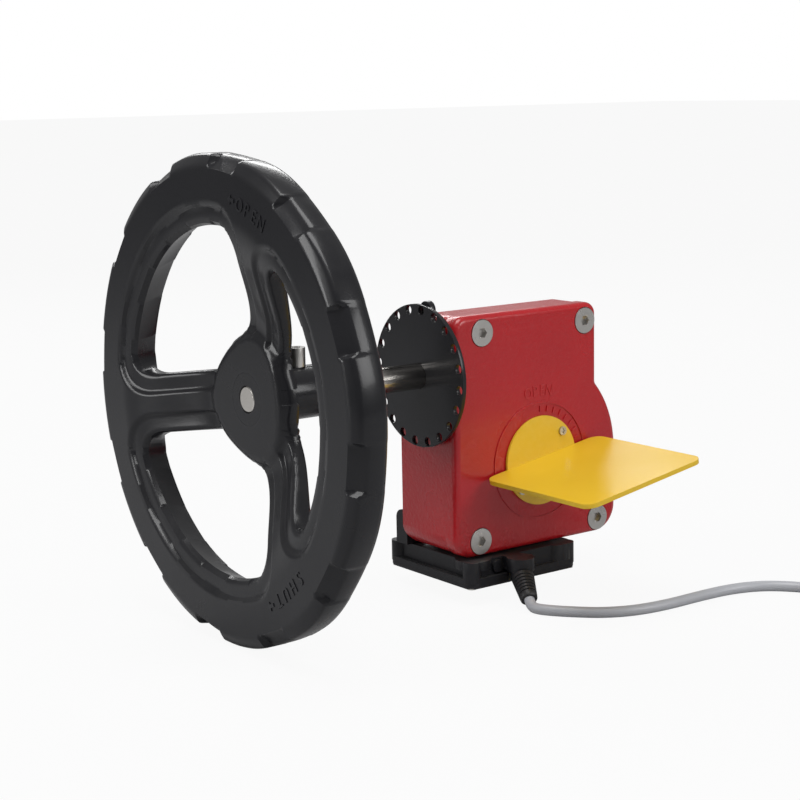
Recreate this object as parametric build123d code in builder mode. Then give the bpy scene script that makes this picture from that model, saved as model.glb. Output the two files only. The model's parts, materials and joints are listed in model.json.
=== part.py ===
from build123d import *
import math
import os

os.makedirs("parts", exist_ok=True)

# Quarter-turn worm gear operator for an industrial valve: handwheel, locking disc, red gear case,
# yellow flag that shows the valve's position, and a switch box with a signal cable underneath.
# Frame: the origin is the centre of the valve mounting face and +Y points into the valve. +Z is up,
# and +X runs from the handwheel to the gear case. All sizes are in millimetres.

# ---- Gear case, driving dimensions ----
CENTRE_DISTANCE = 62.0
NECK_LENGTH = 20.0
CASE_DEPTH = 48.0
COVER_THICKNESS = 12.0
CASE_LEFT = -71.5
CASE_RIGHT = 69.5
SHOULDER_RIGHT = 51.5
CASE_TOP = 102.0
CASE_BOTTOM = -58.0
CASE_WALL = 8.0
CASE_TUCK = 0.8
BACK_ROUNDING = 14.0
TOP_ROUNDING = 30.0
CORNER_RADII = {"bottom_left": 14.0, "bottom_right": 18.0, "top_right": 8.0, "top_left": 10.0}
SHOULDER_FILLET = 4.0
SHAFT_FROM_SEAM = 18.0
GASKET_THICKNESS = 0.5
COVER_EDGE = 4.5
SCREW_HEAD_RADIUS = 8.7
SCREW_HEAD_HEIGHT = 4.6
SCREW_RADIUS = 4.0
SCREW_LENGTH = 30.0
SCREW_PROUD = 0.4
SCREW_CLEARANCE = 0.4
SCREW_SOCKET_RADIUS = 3.6
SCREW_SOCKET_DEPTH = 3.0
PILLAR_RADIUS = 9.0
COVER_BOSS_RADIUS = 25.0

# ---- Valve mounting face ----
FLANGE_RADIUS = 45.0
FLANGE_BOLT_CIRCLE = 70.0
FLANGE_BOLT_RADIUS = 3.4
FLANGE_BOLT_DEPTH = 16.0
SPIGOT_RADIUS = 27.5

# ---- Input shaft and worm ----
SHAFT_RADIUS = 8.5
SHAFT_TAIL_RADIUS = 7.5
SHAFT_CHAMFER = 1.0
MODULE = 3.2
GEAR_TEETH = 30
WORM_LEFT = -30.0
WORM_TIP_RADIUS = 17.0
WORM_ROOT_RADIUS = 10.4
THREAD_ROOT_WIDTH = 6.2
THREAD_TIP_WIDTH = 2.6
BUSH_RADIUS = 13.0
BUSH_FLANGE_RADIUS = 16.5
BUSH_FLANGE_THICKNESS = 3.0
BOSS_RADIUS = 17.5
BOSS_LENGTH = 10.0
WASHER_THICKNESS = 2.0
SEAL_RADIUS = 14.0
SEAL_LENGTH = 6.0
BLIND_WALL = 3.0
RUNNING_CLEARANCE = 0.05
END_FLOAT = 0.1
COLLAR_RADIUS = 12.5
WORM_PIN_RADIUS = 2.0
WORM_PIN_SINK = 0.4
WORM_PIN_INSET = 4.0
THREAD_MARGIN = 7.5
THREAD_SINK = 0.6

# ---- Sector gear and output sleeve ----
GEAR_TIP_RADIUS = 50.8
GEAR_ROOT_RADIUS = 44.0
GEAR_WIDTH = 20.0
SECTOR_FROM = -7.0
SECTOR_TO = 116.0
HUB_RADIUS = 24.0
FRONT_JOURNAL_RADIUS = 16.0
STEM_BORE_RADIUS = 11.0
STEM_BORE_DEPTH = 44.0
KEYWAY_WIDTH = 6.0
KEYWAY_DEPTH = 2.8
HUB_END = -5.0
OPEN_TRAVEL = 80.5
SHUT_TRAVEL = 9.5
STOP_PIN_RADIUS = 4.0
STOP_PIN_CIRCLE = 38.0
STOP_GAP = 0.6
SLOT_HALF_WIDTH = 2.85
PRESSURE_ANGLE = 20.0
REAR_BUSH_FROM = -26.0
REAR_BUSH_TO = -8.0
REAR_SEAL_TO = -5.0
TARGET_RADIUS = 3.0
TARGET_LENGTH = 6.0
TARGET_SINK = 0.3
TARGET_ANGLES = (-68.0, 134.0)
STOP_PIN_SEAT = 6.0
STOP_PIN_LENGTH = 40.0
FRONT_BUSH_RADIUS = 20.0
STEM_SEAL_RADIUS = 14.0

# ---- Indicator ----
DISC_RADIUS = 30.0
DISC_THICKNESS = 1.7
DRIVER_RADIUS = 28.5
DRIVER_THICKNESS = 3.4
DRIVER_STEM_RADIUS = 11.9
FLAG_WIDTH = 100.0
FLAG_LENGTH = 100.8
FLAG_THICKNESS = 3.0
FLAG_CORNER = 8.0
FLAG_ANGLE = 9.5
FLAG_LIFT = 1.0
FLAG_TAB_WIDTH = 40.0
INDICATOR_SCREW_CIRCLE = 25.2
INDICATOR_SCREW_RADIUS = 3.0
DIAL_RING_RADIUS = 39.8
DIAL_RING_WIDTH = 1.3
DIAL_RELIEF = 0.7
DIAL_TICKS = 10
DIAL_TICK_ANGLE = 10.0
RECESS_CLEARANCE = 0.5
TICK_LENGTH = 4.2
TICK_WIDTH = 0.8
TICK_CIRCLE = 34.6
INDICATOR_SHANK_RADIUS = 1.6
INDICATOR_HEAD_HEIGHT = 1.4
CROSS_LENGTH = 3.4
CROSS_WIDTH = 0.9

# ---- Handwheel ----
WHEEL_RADIUS = 150.0
RIM_WIDTH = 43.0
RIM_FRONT = -233.0
RIM_DEPTH = 24.0
RIM_ROUNDING = 7.0
HUB_FACE = -209.0
HUB_PLATE_RADIUS = 38.0
HUB_PLATE_THICKNESS = 14.0
SPOKE_WIDTH = 38.0
SPOKE_THICKNESS = 13.0
SPOKE_ANGLES = (-8.0, 112.0, 232.0)
SLEEVE_RADIUS = 16.5
SLEEVE_LENGTH = 60.0
CROSS_PIN_RADIUS = 3.0
CROSS_PIN_FROM_FACE = 25.0
HUB_BOLT_FROM_FACE = 37.0
HUB_BOLT_HEAD_RADIUS = 5.5
HUB_BOLT_HEAD_HEIGHT = 12.0
HUB_BOLT_RADIUS = 4.0
SPOKE_OVERLAP = 3.0
SPOKE_SETBACK = 4.0
PIN_SINK = 0.5
HUB_BOLT_SOCKET_RADIUS = 3.0

# ---- Locking disc and lug ----
LOCK_DISC_RADIUS = 47.0
LOCK_DISC_FACE = -78.4
LOCK_DISC_THICKNESS = 3.0
LOCK_HOLE_CIRCLE = 43.4
LOCK_HOLE_RADIUS = 3.0
LOCK_HOLES = 20
LOCK_HOLE_PHASE = 12.1
LOCK_COLLAR_RADIUS = 13.0
LOCK_COLLAR_LENGTH = 3.6
LUG_GAP = 0.6
LUG_ANGLE = -5.9
LUG_RADIUS = 5.8
LUG_FOOT = 20.0
LUG_FOOT_HEIGHT = 11.0
LUG_FOOT_WIDTH = 22.0
LUG_SCREW_RADIUS = 2.0
LUG_SCREW_SPREAD = 7.0
LUG_SCREW_DEPTH = 6.0
GRUB_RADIUS = 1.4

# ---- Switch box ----
BOX_LEFT = -67.5
BOX_RIGHT = 25.5
BOX_FRONT = -88.5
BOX_BACK = 2.0
BOX_BOTTOM = -77.0
BOX_TOP = -59.0
LID_THICKNESS = 4.0
RIM_THICKNESS = 3.0
BOX_WALL = 3.0
WALL_RECESS = 4.0
BOX_CORNER = 7.0
POST_RADIUS = 6.0
TURRET_RADIUS = 12.0
TURRET_INSET = 12.0
TURRETS = ((BOX_LEFT + TURRET_INSET, -65.0), (BOX_RIGHT - TURRET_INSET, -70.0))
STRAP_WIDTH = 15.5
STRAP_DEPTH = 12.0
STRAP_TOP = -35.5
STRAP_ROUNDING = 6.0
STRAP_SCREW = (-58.0, -40.5)
BOX_SCREW_PLACES = ((-34.0, -60.0), (-34.0, -40.0), (12.5, -58.0))
BOX_SCREW_RADIUS = 2.5
BOX_SCREW_HEAD = 4.2
BOX_SCREW_HEAD_HEIGHT = 2.5
LID_SCREW_RADIUS = 1.6
LID_SCREW_HEAD = 3.0
LID_SCREW_DEPTH = 10.0
LID_SCREW_INSET = 4.4
LID_SEAL_WIDTH = 1.6
LID_SEAL_INSET = 0.5
LID_SEAL_HEIGHT = 1.2
PLUG_X = -42.1
PLUG_Z = -64.6
PLUG_RADIUS = 3.6
PLUG_HEAD_RADIUS = 4.3
PLUG_HEAD = 2.0
GLAND = (-29.7, -94.0, -67.8)
GLAND_RADIUS = 9.2
GLAND_BORE = 3.6
GLAND_WEB_WIDTH = 14.0
NUT_RADIUS = 7.4
NOTCH_RADIUS = 7.7
SENSOR_RADIUS = 4.0
SENSORS = ((-24.0, -16.5), (6.0, -26.0))
SENSOR_FOOT = -66.5
BOARD_CENTRE = (-47.0, -36.0)
BOARD_SIZE = (22.0, 50.0)
BOARD_THICKNESS = 1.6
BOARD_STANDOFF = 1.4
BOARD_POST_INSET = 6.0
TERMINAL_SIZE = (9.0, 32.0)
TERMINAL_HEIGHT = 6.0
TERMINAL_WAYS = 6
TERMINAL_HOLE_RADIUS = 1.5
LID_GROOVE_GAP = 0.3
GASKET_CENTRE = (-16.0, -51.0)
GASKET_SIZE = (76.0, 30.0)

# ---- Cable ----
CABLE_RADIUS = 3.5
BEND_SHARE = 0.45
BOOT_FROM = 7.5
BOOT_ROOT_RADIUS = 7.2
BOOT_TIP_RADIUS = 5.6
BOOT_TIP = (-41.0, -116.0, -81.3)
CABLE_ROUTE = [
    BOOT_TIP,
    (-43.6, -121.1, -84.45),
    (-43.2, -127.8, -84.5),
    (-38.8, -135.8, -84.5),
    (-30.0, -147.0, -84.5),
    (-17.0, -160.5, -84.5),
    (2.5, -170.0, -84.5),
    (28.0, -173.5, -84.5),
    (56.0, -173.0, -84.5),
    (84.0, -174.5, -84.5),
    (106.0, -182.5, -84.5),
    (120.5, -198.0, -84.5),
    (127.0, -214.0, -84.2),
    (128.6, -230.0, -83.5),
]
COIL_CENTRE = (171.5, -245.0)
COIL_INNER = 33.0
COIL_OUTER = 47.0
COIL_BOTTOM = -87.0
COIL_HEIGHT = 14.0
TIE_THICKNESS = 0.9
TIE_WIDTH = 5.0
TIE_ANGLE = 250.0
TAIL_ROUTE = [
    (212.6, -259.4, -76.5),
    (215.6, -250.9, -76.5),
    (218.1, -241.2, -77.0),
    (219.6, -231.3, -79.2),
    (220.2, -221.4, -82.0),
    (219.6, -211.5, -83.9),
    (218.0, -202.8, -84.5),
]
CORE_RADIUS = 0.9
CORE_LENGTH = 7.0
CORE_SPREAD = 1.2

# ---- Places worked out from the driving dimensions ----
CASE_BACK = -NECK_LENGTH
SEAM = CASE_BACK - CASE_DEPTH
COVER_FRONT = SEAM - COVER_THICKNESS
SHAFT_Y = SEAM + SHAFT_FROM_SEAM
SHAFT_Z = CENTRE_DISTANCE
LEAD = math.pi * MODULE
SHAFT_AXIS = Axis((0, SHAFT_Y, SHAFT_Z), (1, 0, 0))
BODY_BOTTOM = BOX_BOTTOM + LID_THICKNESS
ROOF = BOX_TOP - BOX_WALL
SCREW_PLACES = (
    (CASE_LEFT + 23.0, CASE_TOP - 11.8),
    (SHOULDER_RIGHT - 11.3, CASE_TOP - 11.8),
    (CASE_LEFT + 20.0, CASE_BOTTOM + 10.4),
    (CASE_RIGHT - 18.0, CASE_BOTTOM + 10.4),
)
FLAG_BACK = COVER_FRONT - 0.3 - DISC_THICKNESS
RECESS_FLOOR = COVER_FRONT + DRIVER_THICKNESS + 0.2
JOURNAL_FRONT = RECESS_FLOOR + 3.2
BUSH_FRONT_END = SEAM + 5.0
HUB_FRONT = BUSH_FRONT_END + 0.3
HUB_NOSE = JOURNAL_FRONT + 0.2


def facing(y):
    """Plane at y that faces the front, with local x along X and local y along Z."""
    return Plane.XZ.offset(-y)


def level(z):
    """Horizontal plane at height z."""
    return Plane.XY.offset(z)


def station(x, y=SHAFT_Y, z=SHAFT_Z):
    """Plane across the input shaft at x, with local x along Y and local y along Z."""
    return Plane(origin=(x, y, z), x_dir=(0, 1, 0), z_dir=(1, 0, 0))


def radial(angle):
    """Plane through the input shaft's axis, with local x along X and local y outwards at the angle."""
    turn = math.radians(angle)
    return Plane(
        origin=(0, SHAFT_Y, SHAFT_Z), x_dir=(1, 0, 0), z_dir=(0, -math.sin(turn), math.cos(turn))
    )


def case_outline(plane, inset=0.0):
    """Outline of the gear case on a plane: a block with a lobe concentric with the output axis."""
    lobe_top = math.sqrt(CASE_RIGHT**2 - SHOULDER_RIGHT**2)
    corners = {
        (CASE_LEFT, CASE_BOTTOM): CORNER_RADII["bottom_left"],
        (CASE_RIGHT, CASE_BOTTOM): CORNER_RADII["bottom_right"],
        (SHOULDER_RIGHT, CASE_TOP): CORNER_RADII["top_right"],
        (CASE_LEFT, CASE_TOP): CORNER_RADII["top_left"],
        (SHOULDER_RIGHT, lobe_top): SHOULDER_FILLET,
    }
    with BuildSketch(plane) as outline:
        with BuildLine():
            Polyline(
                (CASE_RIGHT, 0),
                (CASE_RIGHT, CASE_BOTTOM),
                (CASE_LEFT, CASE_BOTTOM),
                (CASE_LEFT, CASE_TOP),
                (SHOULDER_RIGHT, CASE_TOP),
                (SHOULDER_RIGHT, lobe_top),
            )
            CenterArc((0, 0), CASE_RIGHT, 0, math.degrees(math.atan2(lobe_top, SHOULDER_RIGHT)))
        make_face()
        for (x, z), radius in corners.items():
            fillet(outline.vertices().sort_by_distance((x, z, 0))[0], radius)
        if inset:
            offset(amount=-inset, mode=Mode.REPLACE)
    return outline.sketch


def back_corners(wall):
    """What to cut off the case, or its cavity, to round its top and bottom edges at the back."""
    back = CASE_BACK - wall
    with BuildSketch(Plane.YZ.offset(CASE_LEFT)) as corners:
        for edge, side, full_radius in (
            (CASE_TOP - wall, 1, TOP_ROUNDING),
            (CASE_BOTTOM + wall, -1, BACK_ROUNDING),
        ):
            radius = full_radius - wall
            with Locations((back, edge)):
                Rectangle(2 * radius, 2 * radius)
            with Locations((back - radius, edge - side * radius)):
                Circle(radius, mode=Mode.SUBTRACT)
    return corners.sketch


def ring(plane, outer, inner, length):
    """Plain ring that starts at the plane and runs along its normal."""
    with BuildPart() as turned:
        with BuildSketch(plane):
            Circle(outer)
            Circle(inner, mode=Mode.SUBTRACT)
        extrude(amount=length)
    return turned.part


def on_circle(radius, angle):
    """Point on a circle about the local origin."""
    turn = math.radians(angle)
    return (radius * math.cos(turn), radius * math.sin(turn))


# Each stop pin stands just past one flank of the sector at that end of the stroke.
STOP_CLEARANCE = math.degrees(math.asin((STOP_PIN_RADIUS + STOP_GAP) / STOP_PIN_CIRCLE))
STOP_PIN_PLACES = (
    on_circle(STOP_PIN_CIRCLE, SECTOR_FROM - SHUT_TRAVEL - STOP_CLEARANCE),
    on_circle(STOP_PIN_CIRCLE, SECTOR_TO + OPEN_TRAVEL + STOP_CLEARANCE),
)
LUG_EYE = on_circle(LOCK_HOLE_CIRCLE, 90 - LUG_ANGLE)
LUG_SCREWS = tuple(
    (LUG_EYE[0] + side * LUG_SCREW_SPREAD, LUG_FOOT + LUG_FOOT_HEIGHT / 2) for side in (-1, 1)
)
INDICATOR_SCREWS = tuple(on_circle(INDICATOR_SCREW_CIRCLE, angle) for angle in (45, 225))

# ---- Gear case ----
WALL_SPAN = CASE_RIGHT - CASE_LEFT
LEFT_BOSS_END = CASE_LEFT + CASE_WALL + BOSS_LENGTH
RIGHT_BOSS_END = SHOULDER_RIGHT - CASE_WALL - BOSS_LENGTH
BORE_END = SHOULDER_RIGHT - CASE_TUCK - BLIND_WALL

with BuildPart() as cavity:
    extrude(case_outline(facing(CASE_BACK - CASE_WALL), CASE_WALL), amount=CASE_DEPTH - CASE_WALL)
    extrude(back_corners(CASE_WALL), amount=WALL_SPAN, mode=Mode.SUBTRACT)

with BuildPart() as gear_housing:
    extrude(case_outline(facing(CASE_BACK), CASE_TUCK), amount=CASE_DEPTH - GASKET_THICKNESS)
    extrude(back_corners(0), amount=WALL_SPAN, mode=Mode.SUBTRACT)
    add(cavity.part, mode=Mode.SUBTRACT)
    with BuildSketch(facing(0)):
        Circle(FLANGE_RADIUS)
    extrude(amount=NECK_LENGTH + CASE_WALL)
    for start, end in (
        (CASE_LEFT + CASE_WALL - 1, LEFT_BOSS_END),
        (RIGHT_BOSS_END, SHOULDER_RIGHT - CASE_WALL + 1),
    ):
        with BuildSketch(station(start)):
            Circle(BOSS_RADIUS)
        extrude(amount=end - start)
    with BuildSketch(facing(CASE_BACK - BACK_ROUNDING - 2)):
        with Locations(*SCREW_PLACES):
            Circle(PILLAR_RADIUS)
    extrude(amount=CASE_DEPTH - BACK_ROUNDING - 2 - GASKET_THICKNESS)
    with BuildSketch(facing(SEAM + SCREW_LENGTH - COVER_THICKNESS + 1)):
        with Locations(*SCREW_PLACES):
            Circle(SCREW_RADIUS)
    extrude(amount=SCREW_LENGTH, mode=Mode.SUBTRACT)
    with BuildSketch(facing(0)):
        Circle(SPIGOT_RADIUS)
    extrude(amount=NECK_LENGTH + CASE_WALL, mode=Mode.SUBTRACT)
    with BuildSketch(facing(0)):
        with PolarLocations(FLANGE_BOLT_CIRCLE / 2, 4, start_angle=45):
            Circle(FLANGE_BOLT_RADIUS)
    extrude(amount=FLANGE_BOLT_DEPTH, mode=Mode.SUBTRACT)
    with BuildSketch(station(CASE_LEFT)):
        Circle(BUSH_RADIUS)
    extrude(amount=BORE_END - CASE_LEFT, mode=Mode.SUBTRACT)
    with BuildSketch(station(CASE_LEFT)):
        Circle(SEAL_RADIUS)
    extrude(amount=CASE_TUCK + SEAL_LENGTH, mode=Mode.SUBTRACT)
    with BuildSketch(level(CASE_BOTTOM)):
        with Locations(*[(x, SHAFT_Y) for x, _ in SENSORS]):
            Circle(SENSOR_RADIUS)
        with Locations(*BOX_SCREW_PLACES):
            Circle(BOX_SCREW_RADIUS)
    extrude(amount=CASE_WALL + CASE_TUCK + 1, mode=Mode.SUBTRACT)
    with BuildSketch(facing(CASE_BACK)):
        with Locations(STRAP_SCREW):
            Circle(BOX_SCREW_RADIUS)
    extrude(amount=CASE_WALL, mode=Mode.SUBTRACT)
    with BuildSketch(facing(CASE_BACK - CASE_WALL + STOP_PIN_SEAT)):
        with Locations(*STOP_PIN_PLACES):
            Circle(STOP_PIN_RADIUS)
    extrude(amount=STOP_PIN_SEAT, mode=Mode.SUBTRACT)
    with BuildSketch(station(CASE_LEFT)):
        with Locations(*LUG_SCREWS):
            Circle(LUG_SCREW_RADIUS)
    extrude(amount=CASE_TUCK + LUG_SCREW_DEPTH, mode=Mode.SUBTRACT)
gear_housing.part.label = "gear_housing"
export_step(gear_housing.part, "parts/gear_housing.step")

with BuildPart() as cover_gasket:
    extrude(case_outline(facing(SEAM + GASKET_THICKNESS), CASE_TUCK), amount=GASKET_THICKNESS)
    extrude(
        case_outline(facing(SEAM + GASKET_THICKNESS), CASE_WALL),
        amount=GASKET_THICKNESS,
        mode=Mode.SUBTRACT,
    )
    with BuildSketch(facing(SEAM + GASKET_THICKNESS)):
        with Locations(*SCREW_PLACES):
            Circle(PILLAR_RADIUS)
    extrude(amount=GASKET_THICKNESS)
    with BuildSketch(facing(SEAM + GASKET_THICKNESS)):
        with Locations(*SCREW_PLACES):
            Circle(SCREW_RADIUS)
    extrude(amount=GASKET_THICKNESS, mode=Mode.SUBTRACT)
cover_gasket.part.label = "cover_gasket"
export_step(cover_gasket.part, "parts/cover_gasket.step")

with BuildPart() as housing_cover:
    extrude(case_outline(facing(SEAM)), amount=COVER_THICKNESS)
    fillet(housing_cover.faces().sort_by(Axis.Y)[0].edges(), COVER_EDGE)
    with BuildSketch(facing(BUSH_FRONT_END)):
        Circle(COVER_BOSS_RADIUS)
    extrude(amount=BUSH_FRONT_END - SEAM)
    with BuildSketch(facing(COVER_FRONT)):
        Circle(DIAL_RING_RADIUS)
        Circle(DIAL_RING_RADIUS - DIAL_RING_WIDTH, mode=Mode.SUBTRACT)
        for tick in range(DIAL_TICKS):
            angle = math.radians(90 - DIAL_TICK_ANGLE * tick)
            with Locations((TICK_CIRCLE * math.cos(angle), TICK_CIRCLE * math.sin(angle))):
                Rectangle(TICK_LENGTH, TICK_WIDTH, rotation=90 - DIAL_TICK_ANGLE * tick)
    extrude(amount=DIAL_RELIEF)
    with BuildSketch(facing(COVER_FRONT + SCREW_HEAD_HEIGHT - SCREW_PROUD)):
        with Locations(*SCREW_PLACES):
            Circle(SCREW_HEAD_RADIUS + SCREW_CLEARANCE)
    extrude(amount=SCREW_HEAD_HEIGHT, mode=Mode.SUBTRACT)
    with BuildSketch(facing(SEAM)):
        with Locations(*SCREW_PLACES):
            Circle(SCREW_RADIUS + SCREW_CLEARANCE)
    extrude(amount=COVER_THICKNESS, mode=Mode.SUBTRACT)
    with BuildSketch(facing(RECESS_FLOOR)):
        Circle(DRIVER_RADIUS + RECESS_CLEARANCE)
    extrude(amount=COVER_THICKNESS, mode=Mode.SUBTRACT)
    with BuildSketch(facing(JOURNAL_FRONT)):
        Circle(STEM_SEAL_RADIUS)
    extrude(amount=COVER_THICKNESS, mode=Mode.SUBTRACT)
    with BuildSketch(facing(BUSH_FRONT_END)):
        Circle(FRONT_BUSH_RADIUS)
    extrude(amount=BUSH_FRONT_END - JOURNAL_FRONT, mode=Mode.SUBTRACT)
housing_cover.part.label = "housing_cover"
export_step(housing_cover.part, "parts/housing_cover.step")

with BuildPart() as cover_screws:
    with BuildSketch(facing(COVER_FRONT + SCREW_HEAD_HEIGHT - SCREW_PROUD)):
        with Locations(*SCREW_PLACES):
            Circle(SCREW_HEAD_RADIUS)
    extrude(amount=SCREW_HEAD_HEIGHT)
    with BuildSketch(facing(COVER_FRONT - SCREW_PROUD + SCREW_LENGTH)):
        with Locations(*SCREW_PLACES):
            Circle(SCREW_RADIUS)
    extrude(amount=SCREW_LENGTH - SCREW_HEAD_HEIGHT)
    with BuildSketch(facing(COVER_FRONT - SCREW_PROUD)):
        with Locations(*SCREW_PLACES):
            RegularPolygon(SCREW_SOCKET_RADIUS, 6)
    extrude(amount=-SCREW_SOCKET_DEPTH, mode=Mode.SUBTRACT)
cover_screws.part.label = "cover_screws"
export_step(cover_screws.part, "parts/cover_screws.step")

# ---- Input shaft line ----
SHAFT_END = BORE_END - 0.5
PIN_X = HUB_FACE + CROSS_PIN_FROM_FACE
HUB_BOLT_X = HUB_FACE + HUB_BOLT_FROM_FACE
LEFT_FLANGE_END = LEFT_BOSS_END + BUSH_FLANGE_THICKNESS
RIGHT_FLANGE_END = RIGHT_BOSS_END - BUSH_FLANGE_THICKNESS
WASHER_LEFT = LEFT_FLANGE_END + END_FLOAT
COLLAR_LEFT = WASHER_LEFT + WASHER_THICKNESS
WASHER_RIGHT = RIGHT_FLANGE_END - END_FLOAT - WASHER_THICKNESS
WORM_LENGTH = WASHER_RIGHT - WORM_LEFT
WORM_PIN_X = WASHER_RIGHT - WORM_PIN_INSET

with BuildPart() as input_shaft:
    with BuildSketch(station(HUB_FACE)):
        Circle(SHAFT_RADIUS)
    extrude(amount=WORM_LEFT - HUB_FACE)
    with BuildSketch(station(WORM_LEFT)):
        Circle(SHAFT_TAIL_RADIUS)
    extrude(amount=SHAFT_END - WORM_LEFT)
    chamfer(input_shaft.faces().sort_by(Axis.X)[0].edges(), SHAFT_CHAMFER)
    with BuildSketch(level(SHAFT_Z)):
        with Locations((PIN_X, SHAFT_Y)):
            Circle(CROSS_PIN_RADIUS)
    extrude(amount=SHAFT_RADIUS + 1, both=True, mode=Mode.SUBTRACT)
    with BuildSketch(level(SHAFT_Z)):
        with Locations((WORM_PIN_X, SHAFT_Y)):
            Circle(WORM_PIN_RADIUS)
    extrude(amount=SHAFT_RADIUS, both=True, mode=Mode.SUBTRACT)
input_shaft.part.label = "input_shaft"
export_step(input_shaft.part, "parts/input_shaft.step")

with BuildPart() as worm:
    with BuildLine() as thread_path:
        Helix(
            pitch=LEAD,
            height=WORM_LENGTH - 2 * THREAD_MARGIN,
            radius=WORM_ROOT_RADIUS,
            center=(WORM_LEFT + THREAD_MARGIN, SHAFT_Y, SHAFT_Z),
            direction=(1, 0, 0),
            lefthand=True,
        )
    thread_start = thread_path.line @ 0
    outwards = Vector(0, thread_start.Y - SHAFT_Y, thread_start.Z - SHAFT_Z).normalized()
    with BuildSketch(Plane(origin=thread_start, z_dir=thread_path.line % 0, x_dir=outwards)):
        with BuildLine():
            Polyline(
                (-THREAD_SINK, -THREAD_ROOT_WIDTH / 2),
                (WORM_TIP_RADIUS - WORM_ROOT_RADIUS, -THREAD_TIP_WIDTH / 2),
                (WORM_TIP_RADIUS - WORM_ROOT_RADIUS, THREAD_TIP_WIDTH / 2),
                (-THREAD_SINK, THREAD_ROOT_WIDTH / 2),
                close=True,
            )
        make_face()
    sweep(path=thread_path.line, is_frenet=True)
    with BuildSketch(station(WORM_LEFT)):
        Circle(WORM_ROOT_RADIUS)
        Circle(SHAFT_TAIL_RADIUS, mode=Mode.SUBTRACT)
    extrude(amount=WORM_LENGTH)
    with BuildSketch(level(SHAFT_Z)):
        with Locations((WORM_PIN_X, SHAFT_Y)):
            Circle(WORM_PIN_RADIUS)
    extrude(amount=WORM_TIP_RADIUS, both=True, mode=Mode.SUBTRACT)
worm.part.label = "worm"
export_step(worm.part, "parts/worm.step")

with BuildPart() as worm_pin:
    with BuildSketch(level(SHAFT_Z - WORM_ROOT_RADIUS + WORM_PIN_SINK)):
        with Locations((WORM_PIN_X, SHAFT_Y)):
            Circle(WORM_PIN_RADIUS)
    extrude(amount=2 * (WORM_ROOT_RADIUS - WORM_PIN_SINK))
worm_pin.part.label = "worm_pin"
export_step(worm_pin.part, "parts/worm_pin.step")

with BuildPart() as spacer_collar:
    with BuildSketch(station(COLLAR_LEFT)):
        Circle(COLLAR_RADIUS)
        Circle(SHAFT_RADIUS, mode=Mode.SUBTRACT)
    extrude(amount=WORM_LEFT - COLLAR_LEFT)
spacer_collar.part.label = "spacer_collar"
export_step(spacer_collar.part, "parts/spacer_collar.step")

with BuildPart() as thrust_washers:
    for start, bore in ((WASHER_LEFT, SHAFT_RADIUS), (WASHER_RIGHT, SHAFT_TAIL_RADIUS)):
        with BuildSketch(station(start)):
            Circle(COLLAR_RADIUS)
            Circle(bore, mode=Mode.SUBTRACT)
        extrude(amount=WASHER_THICKNESS)
thrust_washers.part.label = "thrust_washers"
export_step(thrust_washers.part, "parts/thrust_washers.step")

with BuildPart() as input_bush_left:
    with BuildSketch(station(CASE_LEFT + CASE_TUCK + SEAL_LENGTH)):
        Circle(BUSH_RADIUS)
    extrude(amount=LEFT_BOSS_END - CASE_LEFT - CASE_TUCK - SEAL_LENGTH)
    with BuildSketch(station(LEFT_BOSS_END)):
        Circle(BUSH_FLANGE_RADIUS)
    extrude(amount=BUSH_FLANGE_THICKNESS)
    with BuildSketch(station(CASE_LEFT)):
        Circle(SHAFT_RADIUS + RUNNING_CLEARANCE)
    extrude(amount=WALL_SPAN, mode=Mode.SUBTRACT)
input_bush_left.part.label = "input_bush_left"
export_step(input_bush_left.part, "parts/input_bush_left.step")

with BuildPart() as input_bush_right:
    with BuildSketch(station(RIGHT_BOSS_END)):
        Circle(BUSH_RADIUS)
    extrude(amount=BORE_END - RIGHT_BOSS_END)
    with BuildSketch(station(RIGHT_FLANGE_END)):
        Circle(BUSH_FLANGE_RADIUS)
    extrude(amount=BUSH_FLANGE_THICKNESS)
    with BuildSketch(station(RIGHT_FLANGE_END)):
        Circle(SHAFT_TAIL_RADIUS + RUNNING_CLEARANCE)
    extrude(amount=WALL_SPAN, mode=Mode.SUBTRACT)
input_bush_right.part.label = "input_bush_right"
export_step(input_bush_right.part, "parts/input_bush_right.step")

shaft_seal = ring(
    station(CASE_LEFT + CASE_TUCK), SEAL_RADIUS, SHAFT_RADIUS + RUNNING_CLEARANCE, SEAL_LENGTH
)
shaft_seal.label = "shaft_seal"
export_step(shaft_seal, "parts/shaft_seal.step")

# ---- Output line: sector gear, bushes and seals ----
PITCH_RADIUS = MODULE * GEAR_TEETH / 2
WORM_PITCH_RADIUS = CENTRE_DISTANCE - PITCH_RADIUS
LEAD_ANGLE = math.atan(LEAD / (2 * math.pi * WORM_PITCH_RADIUS))
THREAD_BELOW = WORM_LEFT + THREAD_MARGIN + LEAD / 2
GEAR_PHASE = (90 - math.degrees(THREAD_BELOW / PITCH_RADIUS)) % (360 / GEAR_TEETH)


def slot_plane(angle):
    """Plane across one tooth space, with local x along the rim and local y outwards."""
    turn = math.radians(angle)
    outwards = Vector(math.cos(turn), 0, math.sin(turn))
    along = Vector(math.sin(turn), 0, -math.cos(turn))
    across = along * math.cos(LEAD_ANGLE) + Vector(0, 1, 0) * math.sin(LEAD_ANGLE)
    return Plane(origin=(0, SHAFT_Y, 0), x_dir=across, z_dir=across.cross(outwards))


def target_plane(angle):
    """Plane at the foot of a sensor target, facing outwards from the output axis."""
    turn = math.radians(angle)
    outwards = Vector(math.cos(turn), 0, math.sin(turn))
    foot = outwards * (HUB_RADIUS - TARGET_LENGTH) + Vector(0, SHAFT_Y, 0)
    return Plane(origin=foot, x_dir=(0, 1, 0), z_dir=outwards)


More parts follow.
